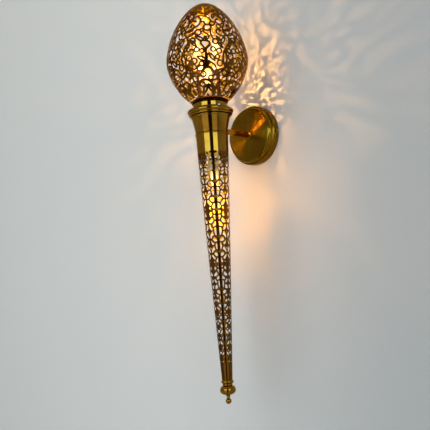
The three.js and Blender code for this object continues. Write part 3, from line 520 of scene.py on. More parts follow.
class Lace:
    """Signed distance to the metal over one of the shade's equal sectors, negative in the metal.
    A place is given by its azimuth and its height, and its surroundings in mm along the surface."""

    def __init__(self, radius_at, low, high, copies, rows, columns):
        heights = np.linspace(low, high, PROFILE_POINTS)
        radii = radius_at(heights)
        arcs = np.concatenate([[0], np.cumsum(np.hypot(np.diff(heights), np.diff(radii)))])
        self.profile = heights, arcs
        self.radius_at = radius_at
        self.copies = copies
        self.sector = 360 / copies
        self.arcs = np.linspace(0, arcs[-1], rows + 1)
        self.heights = np.interp(self.arcs, arcs, heights)
        self.azimuths = (np.arange(columns) / columns - 0.5) * self.sector
        self.azimuth_grid, self.arc_grid = np.meshgrid(self.azimuths, self.arcs)
        radii = radius_at(self.heights)
        self.scale = np.repeat(np.radians(1) * radii[:, None], columns, 1)
        self.field = np.full(self.scale.shape, FAR)
        self.second = self.field
        self.blocked = np.zeros(self.scale.shape, bool)

    def arc_at(self, height):
        heights, arcs = self.profile
        return np.interp(height, heights, arcs)

    def across(self, azimuth):
        """How far round each point lies from an azimuth, the shorter way round"""
        half = self.sector / 2
        return ((self.azimuth_grid - azimuth + half) % self.sector - half) * self.scale

    def around(self, azimuth, height):
        return self.across(azimuth), self.arc_grid - self.arc_at(height)

    def offset(self, azimuth, height, points):
        """Points in mm about a place, as (azimuth, arc) pairs"""
        points = np.asarray(points, float)
        scale = math.radians(1) * float(self.radius_at(height))
        return np.stack([azimuth + points[:, 0] / scale, self.arc_at(height) + points[:, 1]], 1)

    def join(self, distance):
        self.field = np.minimum(self.field, distance)

    def distance_to(self, points, widths):
        """The distance to a line through (azimuth, arc) pairs, of one width or with a width at each"""
        widths = np.broadcast_to(widths, len(points))
        nearest = np.full(self.scale.shape, FAR)
        for index, (start, end) in enumerate(zip(points[:-1], points[1:])):
            x, y = self.across(start[0]), self.arc_grid - start[1]
            run = (end[0] - start[0]) * self.scale
            rise = end[1] - start[1]
            share = np.clip((x * run + y * rise) / np.maximum(run * run + rise * rise, 1e-9), 0, 1)
            thick = widths[index] + (widths[index + 1] - widths[index]) * share
            nearest = np.minimum(nearest, np.hypot(x - share * run, y - share * rise) - thick / 2)
        return nearest

    def stroke(self, points, widths):
        self.join(self.distance_to(points, widths))

    def vine(self, knots, width=STEM_WIDTH, end_width=None, steps=6):
        """A smooth line through (azimuth, height) knots"""
        knots = np.array([(azimuth, self.arc_at(height)) for azimuth, height in knots])
        knots = np.vstack([2 * knots[0] - knots[1], knots, 2 * knots[-1] - knots[-2]])
        points = []
        for before, start, end, after in zip(knots, knots[1:], knots[2:], knots[3:]):
            for t in np.arange(steps) / steps:
                bend = 2 * before - 5 * start + 4 * end - after
                turn = 3 * start - 3 * end + after - before
                points.append(0.5 * (2 * start + (end - before) * t + bend * t ** 2 + turn * t ** 3))
        points.append(knots[-2])
        self.stroke(points, np.linspace(width, end_width or width, len(points)))

    def ring(self, azimuth, height, radius, width=STEM_WIDTH):
        distance = np.hypot(*self.around(azimuth, height))
        self.blocked |= distance < radius
        self.join(np.abs(distance - radius) - width / 2)

    def dot(self, azimuth, height, radius):
        self.join(np.hypot(*self.around(azimuth, height)) - radius)

    def bowed(self, azimuth, height, length, bow, tilt, steps=10):
        """Pairs along a line about a place, bowed by some mm and tilted clockwise by some degrees"""
        shares = np.linspace(0, 1, steps + 1)
        along = (shares - 0.5) * length
        out = bow * np.sin(math.pi * shares)
        turn = math.radians(-tilt)
        x = out * math.cos(turn) - along * math.sin(turn)
        y = out * math.sin(turn) + along * math.cos(turn)
        return self.offset(azimuth, height, np.stack([x, y], 1))

    def leaf(self, azimuth, height, length, width, tilt, rim=LEAF_RIM):
        """An open almond"""
        for side in (-1, 1):
            self.stroke(self.bowed(azimuth, height, length, side * (width - rim) / 2, tilt), rim)

    def petal(self, azimuth, height, length, width, tilt, bow):
        """A solid almond, bowed by a share of its length"""
        widths = width * np.sin(math.pi * np.linspace(0, 1, 9)) ** 0.7
        distance = self.distance_to(self.bowed(azimuth, height, length, bow * length, tilt, 8), widths)
        self.second = np.minimum(self.second, np.maximum(self.field, distance))
        self.join(distance)

    def turn_over(self, line):
        """Makes the petals the openings and the rest the metal, with at least a line between two"""
        self.field = -np.maximum(self.field, (self.field - self.second + line) / 2)

    def band(self, low, high):
        """Plain metal all round between two heights"""
        self.join(np.maximum(self.arc_at(low) - self.arc_grid, self.arc_grid - self.arc_at(high)))

    def keep_open(self, azimuth, height, radius):
        self.blocked |= np.hypot(*self.around(azimuth, height)) < radius

    def fill_with_rings(self, limit, widest, width):
        """Puts a ring in each opening that is still wider than the limit, widest first"""
        room = np.where(self.blocked, -1, self.field)
        while room.max() > limit:
            size = min(room.max(), widest)
            row, column = np.unravel_index(np.abs(room - size).argmin(), room.shape)
            self.ring(self.azimuths[column], self.heights[row], room[row, column] + 0.5 - width / 2, width)
            room = np.where(self.blocked, -1, self.field)

    def pierce_solid(self, limit, rim, low, high):
        """Puts a round hole in each stretch of metal that is deeper than the limit, deepest first"""
        between = ((self.heights > low) & (self.heights < high))[:, None]
        depth = np.where(between, -self.field, 0)
        while depth.max() > limit:
            row, column = np.unravel_index(depth.argmax(), depth.shape)
            distance = np.hypot(*self.around(self.azimuths[column], self.heights[row]))
            self.field = np.maximum(self.field, depth[row, column] - rim - distance)
            depth = np.where(between, -self.field, 0)


# The egg shade's and the cone's own shapes, from their CAD solids' boxes

EGG_LOW, EGG_HIGH = span("egg_shade")
EGG_RADIUS = half_width("egg_shade")
EGG_CROWN_HEIGHT = 118.6
EGG_FOOT_DEPTH = 95.1
EGG_WIDEST = EGG_HIGH - EGG_CROWN_HEIGHT
EGG_CURVE = 1.653
EGG_POWER = 0.585
EGG_SECTORS = 6
# Rows and columns of the grid that the lace of one sector is drawn on
EGG_GRID = (168, 56)
PANEL_AZIMUTH = -45


def egg_radius(height):
    """The egg's outer radius at a height, from its foot up to its pole"""
    height = np.asarray(height, float)
    below = (EGG_WIDEST - height) / EGG_FOOT_DEPTH
    above = (height - EGG_WIDEST) / (EGG_HIGH - EGG_WIDEST)
    share = np.clip(np.where(height < EGG_WIDEST, below, above), 0, 1)
    return EGG_RADIUS * (1 - share ** EGG_CURVE) ** EGG_POWER


CONE_LOW, CONE_HIGH = span("stem_cone")
CONE_TOP_RADIUS = 31.1
CONE_END_RADIUS = 10
CONE_CURVE = 1.09
CONE_SECTORS = 4
CONE_GRID = (350, 40)


def cone_radius(height):
    """The cone's outer radius at a height"""
    share = np.clip((CONE_HIGH - np.asarray(height, float)) / (CONE_HIGH - CONE_LOW), 0, 1)
    return CONE_TOP_RADIUS - (CONE_TOP_RADIUS - CONE_END_RADIUS) * share ** CONE_CURVE


# The egg's panel of scrolling stems with curled ends, open leaves and rings. A vine is its knots, by
# azimuth and height, and its width, or the widths at its two ends.
EGG_VINES = (
    # The loop at the upper left, and the S that carries the rings
    ([(-31, 171), (-26, 175), (-18, 179), (-11, 184.5), (-7.5, 192), (-8.5, 200), (-14, 206),
      (-20, 203.5), (-21, 197), (-17, 193)], 3),
    ([(-11, 207), (-4, 205.5), (4, 202.5), (9, 197), (10.5, 191)], 2.7),
    ([(-7.5, 192), (-3, 191.5), (0.5, 185)],),
    ([(10, 183), (8, 175), (7, 167), (8, 159), (10.5, 153)],),
    ([(-2.5, 177), (-3.5, 171), (0, 165.5), (4, 160.5), (3.5, 154.5), (-0.5, 152)],),
    ([(-8, 174.5), (-5.5, 176), (-2.5, 177)],),
    # The crook over the leaf pair
    ([(-1, 109), (-1.2, 122), (-1.3, 131), (1.5, 137), (4.8, 142), (3.2, 148), (-3, 150.5),
      (-8, 149.5)], 4.6, 3),
    ([(-8, 149.5), (-6, 142), (-1.3, 133)], 2.4),
    ([(-1.2, 119), (0.4, 123), (2.6, 125.6)], 2.3),
    # The bud, its arms and the brow under it
    ([(3, 110), (8.5, 106.5), (12, 100.5), (11.8, 94), (9.5, 88)], 2.8),
    ([(-8, 97.5), (-4, 100.5), (1.5, 101), (6, 98), (8.2, 93.5)], 4),
    ([(-3, 106), (-5.5, 102), (-8, 97.5), (-12, 96.3), (-15.8, 99.5), (-15, 104.5)], 2.8),
    ([(-34, 84), (-28, 88), (-22, 93), (-17, 93.5), (-13.5, 90.5)], 3),
    # The arch over the foot
    ([(-26, 66), (-22, 73.5), (-16, 79), (-9, 81), (-2, 80.5), (4, 77), (9, 71), (13, 63), (14, 58)], 3.8),
    ([(4, 77), (10, 80), (16, 82), (22, 79), (26, 72)], 2.7),
    ([(-4, 59), (-3.6, 56)], 2.4),
    ([(8.5, 60.5), (9.4, 56)], 2.4),
    # The vine between two panels, with its curled shoots
    ([(25, 131), (29, 140), (33.5, 150), (32, 161), (27, 169), (28, 179), (32, 187), (31, 197),
      (28.5, 206), (30, 218), (31, 230), (30, 241)], 2.8),
    ([(33.5, 150), (38, 157), (43, 157), (44.5, 150), (41, 146.5)],),
    ([(31, 162), (24, 160), (18, 163), (16, 170), (19.5, 175), (23, 172)],),
    ([(27.5, 176), (34, 172), (40, 175), (42.5, 182), (39, 187), (35.5, 184)],),
    ([(31, 190), (25, 186), (19.5, 188.5), (18.5, 195), (22, 199)],),
    # Stems of the crown
    ([(2, 203.5), (0.5, 213), (1.5, 224), (0, 241)],),
    ([(-4.5, 210), (0.8, 211.5)], 2.4),
    ([(-22, 222), (-26, 219), (-30, 217)], 2.4),
)
# Azimuth, height, length, width and tilt of the open leaves, and their rim's width if not the usual
EGG_LEAVES = (
    (-9, 155.5, 20, 8.5, -56), (-7.5, 117, 19, 8.5, -62), (6.6, 118.8, 18, 8.2, -36),
    (16.5, 93, 23, 8.5, 56, 2.8), (25.3, 117.5, 28, 11, -3, 2.9), (32.5, 108.5, 15, 7, 40),
    (4.5, 67, 19, 8.5, -26, 3.2), (-8, 66, 19, 9, 24, 3.2), (18, 72, 15, 7, 15), (24, 63, 12, 6, -5),
    (-26, 97, 15, 7.5, -10, 2.8), (-25.5, 110, 15, 6.5, 62), (-18, 147, 18, 8, -40), (-26, 143, 14, 7, 25),
    (19, 141, 13, 7, -35), (24, 151, 19, 8, 28), (17.5, 154, 12, 6, -30), (38.5, 165.5, 13, 7, 65),
    (36, 198, 17, 7.5, 25), (24.5, 208, 14, 7, -25), (16, 205, 15, 7.5, 20), (7.5, 213.5, 16, 7, 30),
    (-8.5, 215, 16, 7, -38), (-20, 213, 15, 7, 15), (20, 219, 13, 6.5, 35), (11, 227, 14, 6, 30),
    (-11, 228, 14, 6, -30), (-22, 227, 12, 6, 0), (-28, 216, 12, 6, -20),
)
# Azimuth, height, radius and width
EGG_RINGS = (
    (3, 178, 7, 3), (-11.5, 168.5, 6.2, 2.8), (12.5, 148, 5, 2.8), (11.5, 187, 4.8, 2.4),
    (-18.3, 114, 4.9, 2.5), (-13.5, 134, 4.4, 2.4), (-21, 131.5, 4.6, 2.3), (-6.8, 130.5, 3.9, 2.2),
    (16.8, 129.5, 4.6, 2.4), (14.3, 118.5, 3.9, 2.3), (8.6, 132.5, 4.4, 2.3),
)
# Azimuth, height and radius
EGG_DOTS = (
    (-16.5, 194, 2.6), (-0.8, 157, 3.4), (-0.8, 107.5, 4.8), (2, 109.5, 3.6), (-13.5, 104.5, 2.6),
    (-14.5, 88.5, 3), (27.5, 101.5, 3.2), (40.5, 148, 2.4), (22, 171, 2.4), (36.5, 183, 2.3),
    (22, 197, 2.3),
)
# Places that stay open, by azimuth and height, and how far round them
EGG_OPEN_PLACES = (0, 90), (1.5, 197), (-0.5, 144), (6.5, 165)
EGG_OPEN_RADIUS = 8
# Plain metal at the egg's two ends, and the gap between the lace's end and the pole
EGG_FOOT_BAND = 2.5
EGG_CROWN_BAND = 11
EGG_TOP_GAP = 0.05
# Limit, widest radius and width of the rings that fill the egg's wide openings
EGG_FILLING = (4.4, 6, 2.2)
# How much the metal of the egg's lace is widened, on each side
EGG_THICKER = 0.35


def egg_lace():
    """The panel, repeated round the egg between two plain bands"""
    top = EGG_HIGH - EGG_TOP_GAP
    lace = Lace(egg_radius, EGG_LOW, top, EGG_SECTORS, *EGG_GRID)
    lace.band(EGG_LOW, EGG_LOW + EGG_FOOT_BAND)
    lace.band(EGG_HIGH - EGG_CROWN_BAND, top)
    drawn = (lace.vine, EGG_VINES), (lace.leaf, EGG_LEAVES), (lace.ring, EGG_RINGS), (lace.dot, EGG_DOTS)
    for draw, forms in drawn:
        for form in forms:
            draw(*form)
    for azimuth, height in EGG_OPEN_PLACES:
        lace.keep_open(azimuth, height, EGG_OPEN_RADIUS)
    lace.fill_with_rings(*EGG_FILLING)
    lace.field -= EGG_THICKER
    return lace


# Openings of half a panel of the cone, which is mirrored about its stem: azimuth, share of the panel's
# height, length as a share of that height, width as a share of the widest, tilt and bow
UPPER_OPENINGS = (
    (0, 0.1, 0.08, 0.35, 0, 0), (9, 0.04, 0.13, 0.75, -25, 0), (13, 0.16, 0.15, 0.9, 42, 0.16),
    (10, 0.295, 0.15, 0.95, -6, 0), (0, 0.365, 0.1, 0.38, 0, 0), (13.5, 0.43, 0.16, 0.9, 48, 0.18),
    (10.5, 0.57, 0.16, 1, 4, 0), (0, 0.645, 0.1, 0.38, 0, 0), (13, 0.71, 0.15, 0.95, -42, -0.16),
    (10, 0.83, 0.11, 0.75, 14, 0), (29, 0.1, 0.13, 0.85, 40, 0.12), (33, 0.235, 0.16, 0.95, -28, -0.16),
    (30, 0.375, 0.14, 0.85, 52, 0.2), (34, 0.505, 0.16, 0.95, -20, -0.1),
    (31, 0.645, 0.16, 1, 32, 0.16), (33, 0.775, 0.13, 0.8, -46, -0.2), (43, 0.05, 0.1, 0.55, 12, 0),
    (43, 0.335, 0.09, 0.45, -14, 0), (43, 0.6, 0.08, 0.4, 12, 0), (42, 0.84, 0.08, 0.35, -16, 0),
)
# The same for the openings at the top of the first panel, and of the two under it
CROWN_OPENINGS = (
    (8.5, 0.95, 0.075, 0.45, 62, -0.28), (25, 0.875, 0.09, 0.55, 28, 0), (23, 0.955, 0.06, 0.4, 12, 0),
    (36, 0.925, 0.09, 0.45, -30, -0.12),
)
JOINT_OPENINGS = (
    (13, 0.93, 0.13, 0.8, 36, 0.12), (30, 0.9, 0.14, 0.85, -30, -0.12), (43, 0.945, 0.09, 0.5, 16, 0),
    (28, 0.99, 0.08, 0.5, 24, 0),
)
LOWER_OPENINGS = (
    (5.5, 0.965, 0.08, 0.5, 50, -0.2), (14, 0.07, 0.1, 0.55, 20, 0), (28, 0.02, 0.1, 0.6, -14, 0),
    (0, 0.165, 0.12, 0.5, 0, 0), (23, 0.185, 0.12, 0.75, -30, -0.12), (13, 0.285, 0.1, 0.6, 12, 0),
    (0, 0.39, 0.12, 0.5, 0, 0), (25, 0.4, 0.13, 0.8, 32, 0.14), (12, 0.5, 0.11, 0.62, -20, 0),
    (0, 0.61, 0.12, 0.5, 0, 0), (24, 0.62, 0.13, 0.75, -34, -0.14), (13, 0.735, 0.12, 0.65, 24, 0.1),
    (0, 0.84, 0.1, 0.45, 0, 0), (26, 0.85, 0.12, 0.7, 36, 0.14), (38, 0.1, 0.1, 0.5, 22, 0),
    (41, 0.29, 0.09, 0.5, -24, 0), (38, 0.51, 0.1, 0.55, 20, 0), (41, 0.72, 0.09, 0.5, -22, 0),
    (38, 0.93, 0.09, 0.5, 26, 0),
)


# Plain metal at the cone's two ends, and the heights where one panel ends and the next begins
CONE_TOP_BAND = 35.7
CONE_FOOT_BAND = 31.2
PANEL_JOINTS = (-155, -256, -352)
# The widest opening as a share of the cone's radius, and the least line of metal between two
WIDEST_OPENING = 0.34
LEAST_LINE = 2.8
# Round holes in the metal that is deeper than a limit: the limit, the rim that they leave, and how
# far they stay from the foot's band and from the top's
HOLE_LIMIT = 2.3
HOLE_RIM = 1.2
HOLES_START = 2
HOLES_END = 14


def cone_lace():
    """Panels of paired leaves about a stem"""
    first_hole, last_hole = CONE_HIGH - CONE_TOP_BAND, CONE_LOW + CONE_FOOT_BAND
    joints = (first_hole, *PANEL_JOINTS, last_hole)
    upper = UPPER_OPENINGS + JOINT_OPENINGS
    designs = (UPPER_OPENINGS + CROWN_OPENINGS, upper, upper, LOWER_OPENINGS)
    lace = Lace(cone_radius, CONE_LOW, CONE_HIGH, CONE_SECTORS, *CONE_GRID)
    for top, bottom, design in zip(joints, joints[1:], designs):
        length = top - bottom
        widest = WIDEST_OPENING * float(cone_radius((top + bottom) / 2)) + 1.0
        for azimuth, share, long, wide, tilt, bow in design:
            for side in (-1, 1) if azimuth else (1,):
                lace.petal(side * azimuth, bottom + share * length, long * length, wide * widest,
                           side * tilt, side * bow)
    lace.turn_over(LEAST_LINE)
    lace.pierce_solid(HOLE_LIMIT, HOLE_RIM, last_hole + HOLES_START, first_hole - HOLES_END)
    lace.band(CONE_LOW, last_hole)
    lace.band(first_hole, CONE_HIGH)
    return lace


# The nearest that a cut edge comes to a point of the grid, as a share of a cell
NEAREST_CROSSING = 0.12
# The least radius of the sheet's inside, at the egg's pole
LEAST_RADIUS = 0.2


def pierced_shell(lace, closed_top):
    """Points, faces and finishes of a thin shell with the lace's openings cut through it. The
    finishes are 0 outside, 1 inside and 2 on the cut edges."""
    field = np.tile(lace.field, (1, lace.copies))
    metal = field < 0
    columns = field.shape[1]
    step, spacing = 360 / columns, lace.arcs[1] - lace.arcs[0]
    azimuths = PANEL_AZIMUTH - lace.sector / 2 + np.arange(columns) * 360 / columns
    batches = []

    def numbered(chosen, along=0, up=0):
        """Adds a point at each chosen place of the grid, or by shares of a cell past it, and gives
        each place its point's number, or -1"""
        row, column = np.nonzero(chosen)
        numbers = np.full(chosen.shape, -1)
        numbers[chosen] = sum(map(len, batches)) + np.arange(len(row))
        batches.append(np.stack([azimuths[column] + along * step, lace.arcs[row] + up * spacing], 1))
        return numbers

    def crossing(first, second, chosen):
        """How far along a grid line the metal's edge lies, kept off the grid's own points"""
        share = first / np.where(first == second, 1, first - second)
        return np.clip(share, NEAREST_CROSSING, 1 - NEAREST_CROSSING)[chosen]

    right = np.roll(field, -1, 1)
    crosses_right = metal != (right < 0)
    crosses_up = metal[:-1] != metal[1:]
    grid_id = numbered(metal)
    next_id = np.roll(grid_id, -1, 1)
    right_id = numbered(crosses_right, crossing(field, right, crosses_right))
    up_id = numbered(crosses_up, 0, crossing(field[:-1], field[1:], crosses_up))

    # Each cell's corners and the crossings between them, in order round the cell
    around_cell = np.stack([
        grid_id[:-1], right_id[:-1], next_id[:-1], np.roll(up_id, -1, 1),
        next_id[1:], right_id[1:], grid_id[1:], up_id,
    ], -1).reshape(-1, 8)
    present = around_cell >= 0
    first_crossing = metal.sum()
    sheets, edges = [], []
    for count in range(3, 7):
        chosen = present.sum(1) == count
        if not chosen.any():
            continue
        cells = around_cell[chosen][present[chosen]].reshape(-1, count)
        sheets.append(cells)
        for index in range(count):
            pair = np.stack([cells[:, index], cells[:, (index + 1) % count]], 1)
            edges.append(pair[(pair >= first_crossing).all(1)])
    edges.append(np.stack([grid_id[0], next_id[0]], 1))
    top = np.stack([next_id[-1], grid_id[-1]], 1)

    azimuth, arc_length = np.concatenate(batches).T
    count = len(azimuth)
    heights, arcs = lace.profile
    height = np.interp(arc_length, arcs, heights)
    radius = lace.radius_at(height)
    falls = np.interp(arc_length, arcs, np.gradient(lace.radius_at(heights), arcs))
    rises = np.interp(arc_length, arcs, np.gradient(heights, arcs))
    angle = np.radians(azimuth)
    points = []
    for depth in (0, LACE_SHEET):
        r = np.maximum(radius - depth * rises, LEAST_RADIUS)
        points.append(np.stack([r * np.cos(angle), r * np.sin(angle), height + depth * falls], 1))
    points = np.concatenate(points)
    caps = []
    if closed_top:
        points = np.vstack([points, (0, 0, EGG_HIGH), (0, 0, EGG_HIGH - LACE_SHEET)])
        caps = [np.column_stack([top[:, ::-1], np.full(len(top), 2 * count)]),
                np.column_stack([top + count, np.full(len(top), 2 * count + 1)])]
    else:
        edges.append(top)
    edges = np.concatenate(edges)
    walls = np.stack([edges[:, 1], edges[:, 0], edges[:, 0] + count, edges[:, 1] + count], 1)
    groups = sheets + [cells[:, ::-1] + count for cells in sheets] + [walls] + caps
    marks = [0] * len(sheets) + [1] * len(sheets) + [2] + [0, 1][:len(caps)]
    marks = [np.full(len(group), mark) for group, mark in zip(groups, marks)]
    return points + TORCH_AXIS, groups, marks


# Fine pieces in place of the plain CAD solids

# Room between two pieces that fit together
GAP = 0.3
# Radius of the roll at the cone's lip
LIP_ROLL = 1.15
# Sides of the foot's small pieces and of the wide canopy
FOOT_SIDES = 64
CANOPY_SIDES = 160


def make_shades(finishes):
    shades = (
        ("egg_lace", "egg_shade", "shade", egg_lace(), True, ("egg", "egg_inside", "cut_edge")),
        ("cone_lace", "stem_cone", "stem", cone_lace(), False, ("pierced", "cone_inside", "cut_edge")),
    )
    for name, node, body, lace, closed_top, sides in shades:
        points, faces, marks = pierced_shell(lace, closed_top)
        materials = [finishes[side] for side in sides]
        add_piece(name, points, faces, body, materials, [node], marks)


def tube_outline(outer, inner, low, high):
    return [(inner, low), (outer, low), (outer, high), (inner, high)]


def make_torch(finishes):
    """The plain turned pieces on the torch's axis, from the cup up to the egg's neck"""
    metal, shaded = finishes["brass"], finishes["painted_shade"]
    cup_low, cup_high = span("cup")
    seam = CONE_HIGH + GAP
    foot_radius, rim_radius, flare, steps = 31, half_width("cup"), 1.45, 25
    levels = np.linspace(seam, cup_high, steps)
    radii = foot_radius + (rim_radius - foot_radius) * ((levels - seam) / (cup_high - seam)) ** flare
    spigot, spigot_end = (cone_radius(level) - SHEET - GAP for level in (seam, cup_low))
    lip, lip_height, reveal = 0.9, 1.5, 0.8
    flaring = (levels > seam + reveal) & (levels < cup_high - 2 * lip_height)
    turned("cup", [
        (spigot_end - SHEET, cup_low), (spigot_end, cup_low), (spigot, seam),
        (foot_radius - reveal, seam), (foot_radius - reveal, seam + reveal),
        *zip(radii[flaring], levels[flaring]),
        *arc((rim_radius - lip, cup_high - lip_height), lip_height - 0.1, -60, 75),
        (rim_radius - lip, cup_high),
        *((r - SHEET, h) for r, h in zip(radii[::-1], levels[::-1]) if h > seam + SHEET),
        (foot_radius - SHEET, seam + SHEET), (spigot - SHEET, seam + SHEET),
    ], metal)

    low, ring_top = span("rim_ring")
    bead, bore = half_width("rim_ring"), half_width("shade_gallery") - 0.2
    ledge, ledge_width, small_roll, small_bead = 3.6, 3.2, 2.0, bead - 4.4
    roll = (ring_top - low) / 2 - small_roll - GAP
    turned("rim_ring", [
        (bore - ledge_width, low), (rim_radius - 0.6, low), (small_bead, low + 0.1),
        *arc((small_bead, low + 0.2 + small_roll), small_roll, -80, 62),
        *arc((bead - roll, ring_top - 0.2 - roll), roll, -52, 86, 16),
        (bore + 1.4, ring_top - 0.1), (bore + 1.2, ring_top - 1.6), (bore, ring_top - 1.6),
        (bore, low + ledge), (bore - ledge_width, low + ledge),
    ], metal, ease=0.25)

    low, high = span("shade_gallery")
    radius = bore - GAP
    inside, shelf, step = radius - SHEET, 7.7, ring_top + 2.4
    turned("shade_gallery", [
        (inside - shelf, low), (radius, low), (radius, ring_top - 2), (radius + 0.7, ring_top),
        (radius + 0.7, step - 0.8), (radius + 0.5, step - 0.2), (radius, step + 0.2),
        (radius, step + 0.6), (radius, high - 1.5), (radius, high - 1.1), (radius - 0.4, high - 0.5),
        (inside, high - 0.5), (inside, low + SHEET), (inside - shelf, low + SHEET),
    ], metal, ease=0.2)

    # The egg's neck sleeve and ring take the near-black painted shade
    sleeve = half_width("shade_neck_sleeve")
    outline = tube_outline(sleeve, sleeve - SHEET, *span("shade_neck_sleeve"))
    turned("shade_neck_sleeve", outline, shaded, "shade")
    low, high = span("shade_neck_ring")
    centre = half_width("shade_neck_ring") - 0.6, (low + high) / 2
    outline = [(sleeve + GAP, low), *arc(centre, (high - low) / 2, -90, 90, 8), (sleeve + GAP, high)]
    turned("shade_neck_ring", outline, shaded, "shade", ease=0.1)


def make_foot(finishes):
    """The cone's rolled lip, and the end ring and the finial under it"""
    metal = finishes["brass"]
    lip_middle = CONE_HIGH - 1
    points, faces = turned_mesh([
        (CONE_TOP_RADIUS - 0.2, lip_middle - 1.2),
        *arc((CONE_TOP_RADIUS + 0.2, lip_middle), LIP_ROLL, -80, 80),
        (CONE_TOP_RADIUS - 0.2, lip_middle + 1.2),
    ], FINE_SIDES)
    add_piece("cone_lip", placed(points, upright()), faces, "stem", [metal])

    low, high = span("stem_end_ring")
    bore, waist, bead, roll = 3.3, 9.2, half_width("stem_end_ring"), 3.3
    seat = CONE_LOW - GAP
    spigot = CONE_END_RADIUS - SHEET - GAP
    turned("stem_end_ring", [
        (bore, low), (waist - 0.6, low), (waist, low + 0.6), (waist, low + 2.2),
        *arc((bead - roll, seat - 4.1), roll, -70, 70, 14),
        (CONE_END_RADIUS, seat), (spigot, seat), (spigot, high), (bore, high),
    ], metal, "stem", sides=FOOT_SIDES, ease=0.2)

    low, high = span("finial")
    bulb, bulb_height, top, neck, ball, socket = half_width("finial"), 16.8, 8.6, 3.8, 5.5, 15.3
    ball_middle = low + ball
    angles = np.radians(np.linspace(6, 174, 29))
    ends = np.where(angles < math.pi / 2, top, neck)
    radii = ends + (bulb - ends) * np.sin(angles)
    levels = high - bulb_height / 2 + bulb_height / 2 * np.cos(angles)
    turned("finial", [
        (0, low), *arc((0, ball_middle), ball, -86, 62, 16),
        *arc((neck + 1.1, ball_middle + ball + 2.3), 1.5, 205, 155, 5),
        *arc((neck - 0.5, high - bulb_height - 0.4), 1.3, -70, 40, 5),
        *zip(radii[::-1], levels[::-1]), (top, high), (bore, high), (bore, high - socket),
        (0, high - socket),
    ], metal, "finial", sides=FOOT_SIDES, ease=0.2)


def make_canopy(finishes):
    """The round canopy on the wall and the arm, drawn from the wall outwards"""
    radius, depth = half_width("backplate"), -span("backplate", 1)[0]
    side, corner, bead, crest, hole = 13, 1.9, 7, radius - 10.3, 5.3
    face = side + 4.4 + bead
    turned("backplate", [
        (radius - SHEET, 0), (radius, 0), (radius, side),
        *arc((radius - corner, side + 0.4), corner, 0, 95, 8),
        (radius - 3.0, side + 2.5), (radius - 3.2, side + 3.6),
        *arc((crest, side + 4.4), bead, 4, 84, 16), (crest, face - 0.3),
        *((r, face - 0.2 + (depth - face + 0.2) * (1 - (r / crest) ** 2)) for r in (47, 36, 24, 12)),
        (hole, depth), (hole, depth - SHEET), (crest - 1, face - 0.5 - SHEET),
        (crest + bead - 1.4, side + 4), (radius - SHEET, side - corner),
    ], finishes["canopy"], at=TOWARDS_ROOM, sides=CANOPY_SIDES, ease=0.3)

    def add_to_arm(node, outline, ease=EASED_EDGE):
        turned(node, outline, finishes["arm"], at=TOWARDS_ROOM, sides=SMALL_SIDES, ease=ease)

    end, start = (-level for level in span("arm_tube", 1))
    tube = half_width("arm_tube") + 0.8
    bore = tube + GAP
    add_to_arm("arm_tube", tube_outline(tube, tube - 2 * SHEET, start, end))
    end, start = (-level for level in span("arm_collar", 1))
    collar = half_width("arm_collar")
    add_to_arm("arm_collar", [
        (bore, start), (collar - 0.2, start), *arc((collar - 1.5, start + 1.6), 1.5, -60, 70),
        (collar - 2.2, start + 3.4), (collar - 2.1, end - 1.0), (bore + 0.9, end), (bore, end),
    ], 0.25)
    end, start = (-level for level in span("arm_ferrule", 1))
    ferrule, end = half_width("arm_ferrule"), end - 2.4
    add_to_arm("arm_ferrule", [
        (bore, start), (ferrule - 0.7, start), (ferrule, start + 0.8), (ferrule, start + 1.7),
        (ferrule - 0.4, start + 2), (ferrule - 0.4, end), (bore, end),
    ], 0.2)


def make_screws(finishes):
    """The canopy's side screws and the gallery's domed and dimpled screws"""
    for node in ("canopy_screw_left", "canopy_screw_right"):
        x, y, z = middle(node)
        start, end = sorted(abs(level) for level in span(node, 0))
        shank, head, seat = 2, half_width(node, 2), end - 3.4
        turned(node, [
            (0, start), (1.6, start), (shank, start + 0.5), (shank, seat), (head - 0.5, seat),
            (head, seat + 0.5), (head, end - 0.9), (head - 0.9, end), (0, end),
        ], finishes["brass"], node, at=facing((math.copysign(1, x), 0, 0), (0, y, z)),
            sides=SMALL_SIDES, ease=0.2)
    start, seat, brim, dimple = 31.7, 33.7, 34.2, 35.2
    for node in ("shade_screw_1", "shade_screw_2", "shade_screw_3"):
        x, y, z = middle(node) - TORCH_AXIS
        shank, head, dome = 1.5, half_width(node, 2), 1.6
        turned(node, [
            (0, start), (shank, start), (shank, seat), (head, seat), (head, brim),
            *((head * math.cos(t), brim + dome * math.sin(t)) for t in np.radians((12, 26, 40, 54, 68))),
            (0.55, 35.75), (0.4, dimple), (0, dimple),
        ], finishes["nickel"], node,
            facing(Vector((x, y, 0)).normalized(), TORCH_AXIS + (0, 0, z)), SMALL_SIDES, 0.1)


# A lampholder's ribs and a lamp base's thread: how many turns, and how far apart
RIBS = 5
RIB_STEP = 2.4
THREADS = 6
THREAD_STEP = 2.1
# A lamp's glass: its length, and its radius at shares of the length
GLASS_LENGTH = 35
GLASS_SHARES = (0, 0.16, 0.3, 0.62, 0.86, 0.97, 1)
GLASS_RADII = (0.77, 0.9, 1, 0.98, 0.72, 0.36, 0)


def lamp_frame(name):
    """A lamp's own frame, with its foot at the holder's outer end and +Z towards its tip"""
    x, y, level = middle(f"lampholder_{name}")
    low, high = span(f"lampholder_{name}")
    up = middle(f"lamp_glass_{name}")[2] > level
    return facing((0, 0, 1 if up else -1), (x, y, low if up else high)), high - low


